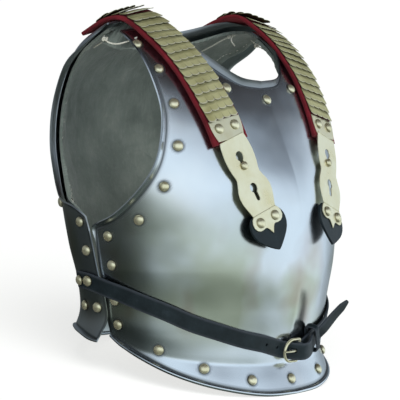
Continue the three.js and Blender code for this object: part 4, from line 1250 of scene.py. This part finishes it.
def beltSection():
    return bandSection(belt["width"], belt["leather"], belt["corner"])


def beltFrames(curve, count):
    share = np.linspace(0, 1, count)
    place, tangent = along(curve, share), heading(curve, share)
    wide, deep = belt["girth"]
    radial = [place[:, 0] / wide**2, place[:, 1] / deep**2, np.full(count, belt["tilt"])]
    radial = unit(np.stack(radial, -1))
    across = squareTo(np.cross(radial, tangent), tangent)
    return share, place, across, np.cross(tangent, across)


def axesOn(piece, hint):
    # origin on the breast plate under a piece, direction across it, up it and away from the plate
    angle = angleAtX(breast, piece["x"], piece["z"])
    normal = plateNormal(breast, angle, piece["z"])
    across = squareTo(np.array(hint), normal)
    return onPlate(breast, angle, piece["z"], piece["lift"]), across, np.cross(normal, across), normal


buckleOrigin, buckleAcross, buckleUp, buckleNormal = axesOn(buckle, (1.0, 0.0, 0.0))


def inBuckle(x, y, z):
    return buckleOrigin + buckleAcross * x + buckleUp * y + buckleNormal * z


def cutBy(piece, tools):
    for tool in tools:
        modifier = piece.modifiers.new("cut", "BOOLEAN")
        modifier.operation = "DIFFERENCE"
        modifier.solver = "EXACT"
        modifier.object = tool
    mesh = evaluated(piece)
    mesh.name = piece.name
    piece.modifiers.clear()
    piece.data = mesh
    for tool in tools:
        bpy.data.objects.remove(tool)


def makeBeltRight():
    through = [onPlateAtX(breast, *row) for row in rowsOf(belt["throughBuckle"])]
    curve = centripetal(np.array(beltSide(-1) + through + list(belt["freeEnd"])))
    share, place, across, normal = beltFrames(curve, 330)
    # the free end narrows to a rounded point
    narrowed = np.minimum(1, 0.35 + (1 - share) * 26)
    rounded = 0.55 + 0.45 * np.sqrt(np.clip((1 - share) / 0.008, 0, 1))
    made = makeSwept("belt_strap_right", sweep(place, across, normal, beltSection(), narrowed * rounded),
                     leather, 50, "root")
    punches = []
    for x, z in belt["holes"]:
        ends = [onPlateAtX(breast, x, z, lift) for lift in (-6, 9)]
        punches.append(makeSwept("punch", tube(np.linspace(*ends, 3), belt["hole"], 20), leather, 40))
    slot = np.array([inBuckle(buckle["bar"] - 4, 0, 0.4), inBuckle(-buckle["reach"] + 1, 0, 2.6)])
    section = bandSection(*buckle["pinSlot"]) - (0, buckle["pinSlot"][1] / 2, 0)
    points, faces, _ = sweep(slot, buckleUp, buckleNormal, section)
    punches.append(makePiece("prong_slot", points, faces, leather, 40, None))
    cutBy(made, punches)
    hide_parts("belt_right")


def makeBeltLeft():
    inner = buckle["wire"] + buckle["clearance"]
    fold = inner + belt["leather"]
    rows = [p for p in beltSide(1) if p[0] > 50]
    rows += [onPlateAtX(breast, 37, 63, 4.2), inBuckle(buckle["bar"] + 6, 0, -fold + 0.2)]
    curve = centripetal(np.array(rows + [inBuckle(buckle["bar"], 0, -fold)]))
    _, place, across, normal = beltFrames(curve, 180)
    main = makeSwept("belt_strap_left", sweep(place, across, normal, beltSection()), leather, 50)
    # the leather turns round the buckle's bar and comes back along itself
    turns = np.radians(np.linspace(-90, -270, 20))[1:]
    outward = np.array([buckleAcross * math.cos(t) + buckleNormal * math.sin(t) for t in turns])
    wrap = inBuckle(buckle["bar"], 0, 0) + outward * inner
    turned = makeSwept("belt_turn", sweep(wrap, buckleUp, outward, beltSection()), leather, 50)
    made = joined("belt_strap_left", main, turned)
    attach(made, "root")
    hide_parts("belt_left")


def makeBuckle():
    b = buckle
    bar, half, corner = b["bar"], b["halfHeight"], b["corner"]
    line = [(math.cos(t) * b["reach"], math.sin(t) * half) for t in np.radians(np.linspace(90, 270, 36))]
    line += [(x, -half) for x in np.linspace(1, bar - corner, 8)]
    line += [(bar - corner + corner * math.sin(t), -half + corner - corner * math.cos(t))
             for t in np.radians((25, 50, 75))]
    line += [(bar, y) for y in np.linspace(-half + corner, half - corner, 14)]
    line += [(bar - corner + corner * math.cos(t), half - corner + corner * math.sin(t))
             for t in np.radians((15, 40, 65))]
    line += [(x, half) for x in np.linspace(bar - corner, 1, 8)]
    ring = tube([inBuckle(x, y, 0) for x, y in line], b["wire"], 14, closed=True)
    frameRing = makeSwept("buckle_ring", ring, brass, 60, "root")
    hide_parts("buckle_frame")
    start, end = inBuckle(bar - 2.5, 0, 1.6), inBuckle(-b["reach"] - 3.4, 0, b["wire"] * 2)
    stations = np.linspace(0, 1, 14)
    bow = b["pinBow"] * np.sin(np.pi * stations)
    pin = start + (end - start) * stations[:, None] + buckleNormal * bow[:, None]
    prong = makeSwept("prong_pin", sweep(pin, buckleUp, buckleNormal, roundSection(b["pin"]),
                                         1 - b["pinTaper"] * stations**2), brass)
    eye = [inBuckle(bar + math.cos(t) * b["eye"], 0, math.sin(t) * b["eye"])
           for t in np.radians(np.linspace(0, 360, 24, endpoint=False))]
    made = joined("prong", prong, makeSwept("prong_eye", tube(eye, b["eyeWire"], 10, closed=True), brass))
    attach(made, "root")
    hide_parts("buckle_prong")


keeper = {
    "x": 35.0,
    "z": 66.0,
    "lift": 9.6,
    "width": 8.0,
    "height": 32.0,
    "depth": 13.0,
    "leather": 1.6,
    "corner": 4.0,
    "rounding": 0.6,  # of the leather's edges
    "across": (0.9, 0.0, 0.44),
}


def makeKeeper():
    k = keeper
    origin, across, up, normal = axesOn(k, k["across"])
    line, facing = [], []
    for a, b, start in ((1, -1, -90), (1, 1, 0), (-1, 1, 90), (-1, -1, 180)):
        middle = (origin + up * a * (k["height"] / 2 - k["corner"])
                  + normal * b * (k["depth"] / 2 - k["corner"]))
        for t in np.radians(np.linspace(start, start + 90, 8)):
            facing.append(up * math.cos(t) + normal * math.sin(t))
            line.append(middle + facing[-1] * k["corner"])
    section = bandSection(k["width"], k["leather"], k["rounding"], 4)
    made = makeSwept("belt_loop", sweep(np.array(line), across, np.array(facing), section, closed=True),
                     leather, 50, "root")
    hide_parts("belt_keeper")


def makeBeltRivets():
    for side, hand in ((-1, "right"), (1, "left")):
        angle = side * np.array(belt["rivetAngles"], float)
        height = np.full(2, belt["rivetHeight"])
        seats = onPlate(back, angle, height, np.full(2, belt["lift"] + belt["leather"] + 0.9))
        made = scatter("belt_rivets_" + hand, rivetHead(), seats, plateNormal(back, angle, height),
                       np.tile([0.0, 0.0, 1.0], (2, 1)), rivetBrass, 0.03, (0.04, 0.04, 3.0), 31 + side)
        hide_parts(*[f"belt_rivet_{i}_{hand}" for i in (1, 2)])


makeBeltRight()
makeBeltLeft()
makeBuckle()
makeKeeper()
makeBeltRivets()
print("belt made")


# ---- floor and light

studio = {
    "floor": "#a8a8a6",
    "paperGlow": "#f4f4f2",
    "floorGlow": 0.8,  # the paper is lit from behind
    "floorSize": 80.0,  # m
    "window": 1.22,
    "sun": 2.0,
    "sunFrom": (0.35, 0.45, -1.0),
    "sunSoftness": 50,  # degrees
}

# brightness of the room around the part: by height of the direction, then by its bearing from the front
roomByHeight = ((-1.0, "#454d49"), (-0.42, "#59625e"), (-0.2, "#99a39f"), (-0.08, "#c9d4d7"),
                (0.02, "#dae5eb"), (0.1, "#d9e6ef"), (0.35, "#dcebf6"), (0.52, "#d6e4ef"), (0.64, "#c2cdd8"),
                (0.73, "#7f8892"), (0.8, "#4a4c50"), (0.88, "#2e2a29"), (1.0, "#2a2625"))
roomByBearing = ((-180, 0.2), (-135, 0.18), (-105, 0.24), (-90, 0.5), (-74, 0.95), (-50, 1.0), (15, 1.0),
                 (66, 1.05), (82, 1.0), (92, 0.5), (102, 0.35), (114, 0.4), (124, 0.16), (180, 0.2))


def makeFloor():
    half = studio["floorSize"] / 2
    mesh = bpy.data.meshes.new("floor")
    corners = [(x * half, y * half, 0) for x, y in ((-1, -1), (1, -1), (1, 1), (-1, 1))]
    mesh.from_pydata(corners, [], [(0, 1, 2, 3)])
    finish, _, _ = newMaterial("matt_white_paper", Roughness=0.95, Base_Color=tint(studio["floor"]),
                               Emission_Color=tint(studio["paperGlow"]),
                               Emission_Strength=studio["floorGlow"])
    mesh.materials.append(finish)
    made = addObject("floor", mesh)
    made.visible_glossy = False  # the steel mirrors the room below it, which is darker


def fromTo(source, low, high, top=1.0):
    return addNode(source.id_data, "ShaderNodeMapRange", {0: source, "From Min": low, "From Max": high,
                                                          "To Max": top})


def makeWorld():
    world = bpy.data.worlds.new("soft_studio")
    bpy.context.scene.world = world
    world.use_nodes = True
    tree = world.node_tree
    surface = tree.nodes["Background"]
    where = addNode(tree, "ShaderNodeTexCoord", out="Generated")
    x, y, z = addNode(tree, "ShaderNodeSeparateXYZ", {0: where}).node.outputs
    bearing = maths("ARCTAN2", x, maths("MULTIPLY", y, -1.0))
    # the window's top edge comes lower towards the wearer's left
    height = maths("ADD", z, fromTo(x, 0.42, 0.85, 0.3))
    tall = ramp(fromTo(height, -1.0, 1.0), *[((h + 1) / 2, c) for h, c in roomByHeight])
    wide = ramp(fromTo(bearing, -math.pi, math.pi),
                *[((d + 180) / 360, min(1.0, k)) for d, k in roomByBearing])
    wire(surface, Color=mixColour(tall, 1.0, wide, "MULTIPLY"))
    surface.inputs["Strength"].default_value = studio["window"]


def addSun(name):
    data = bpy.data.lights.new(name, "SUN")
    data.energy = studio["sun"]
    data.angle = math.radians(studio["sunSoftness"])
    lamp = addObject(name, data)
    lamp.rotation_euler = Vector(studio["sunFrom"]).to_track_quat("-Z", "Y").to_euler()
    lamp.visible_glossy = False


bpy.context.scene.view_settings.view_transform = "Standard"
makeFloor()
makeWorld()
addSun("overhead_softbox")
print("stage made")
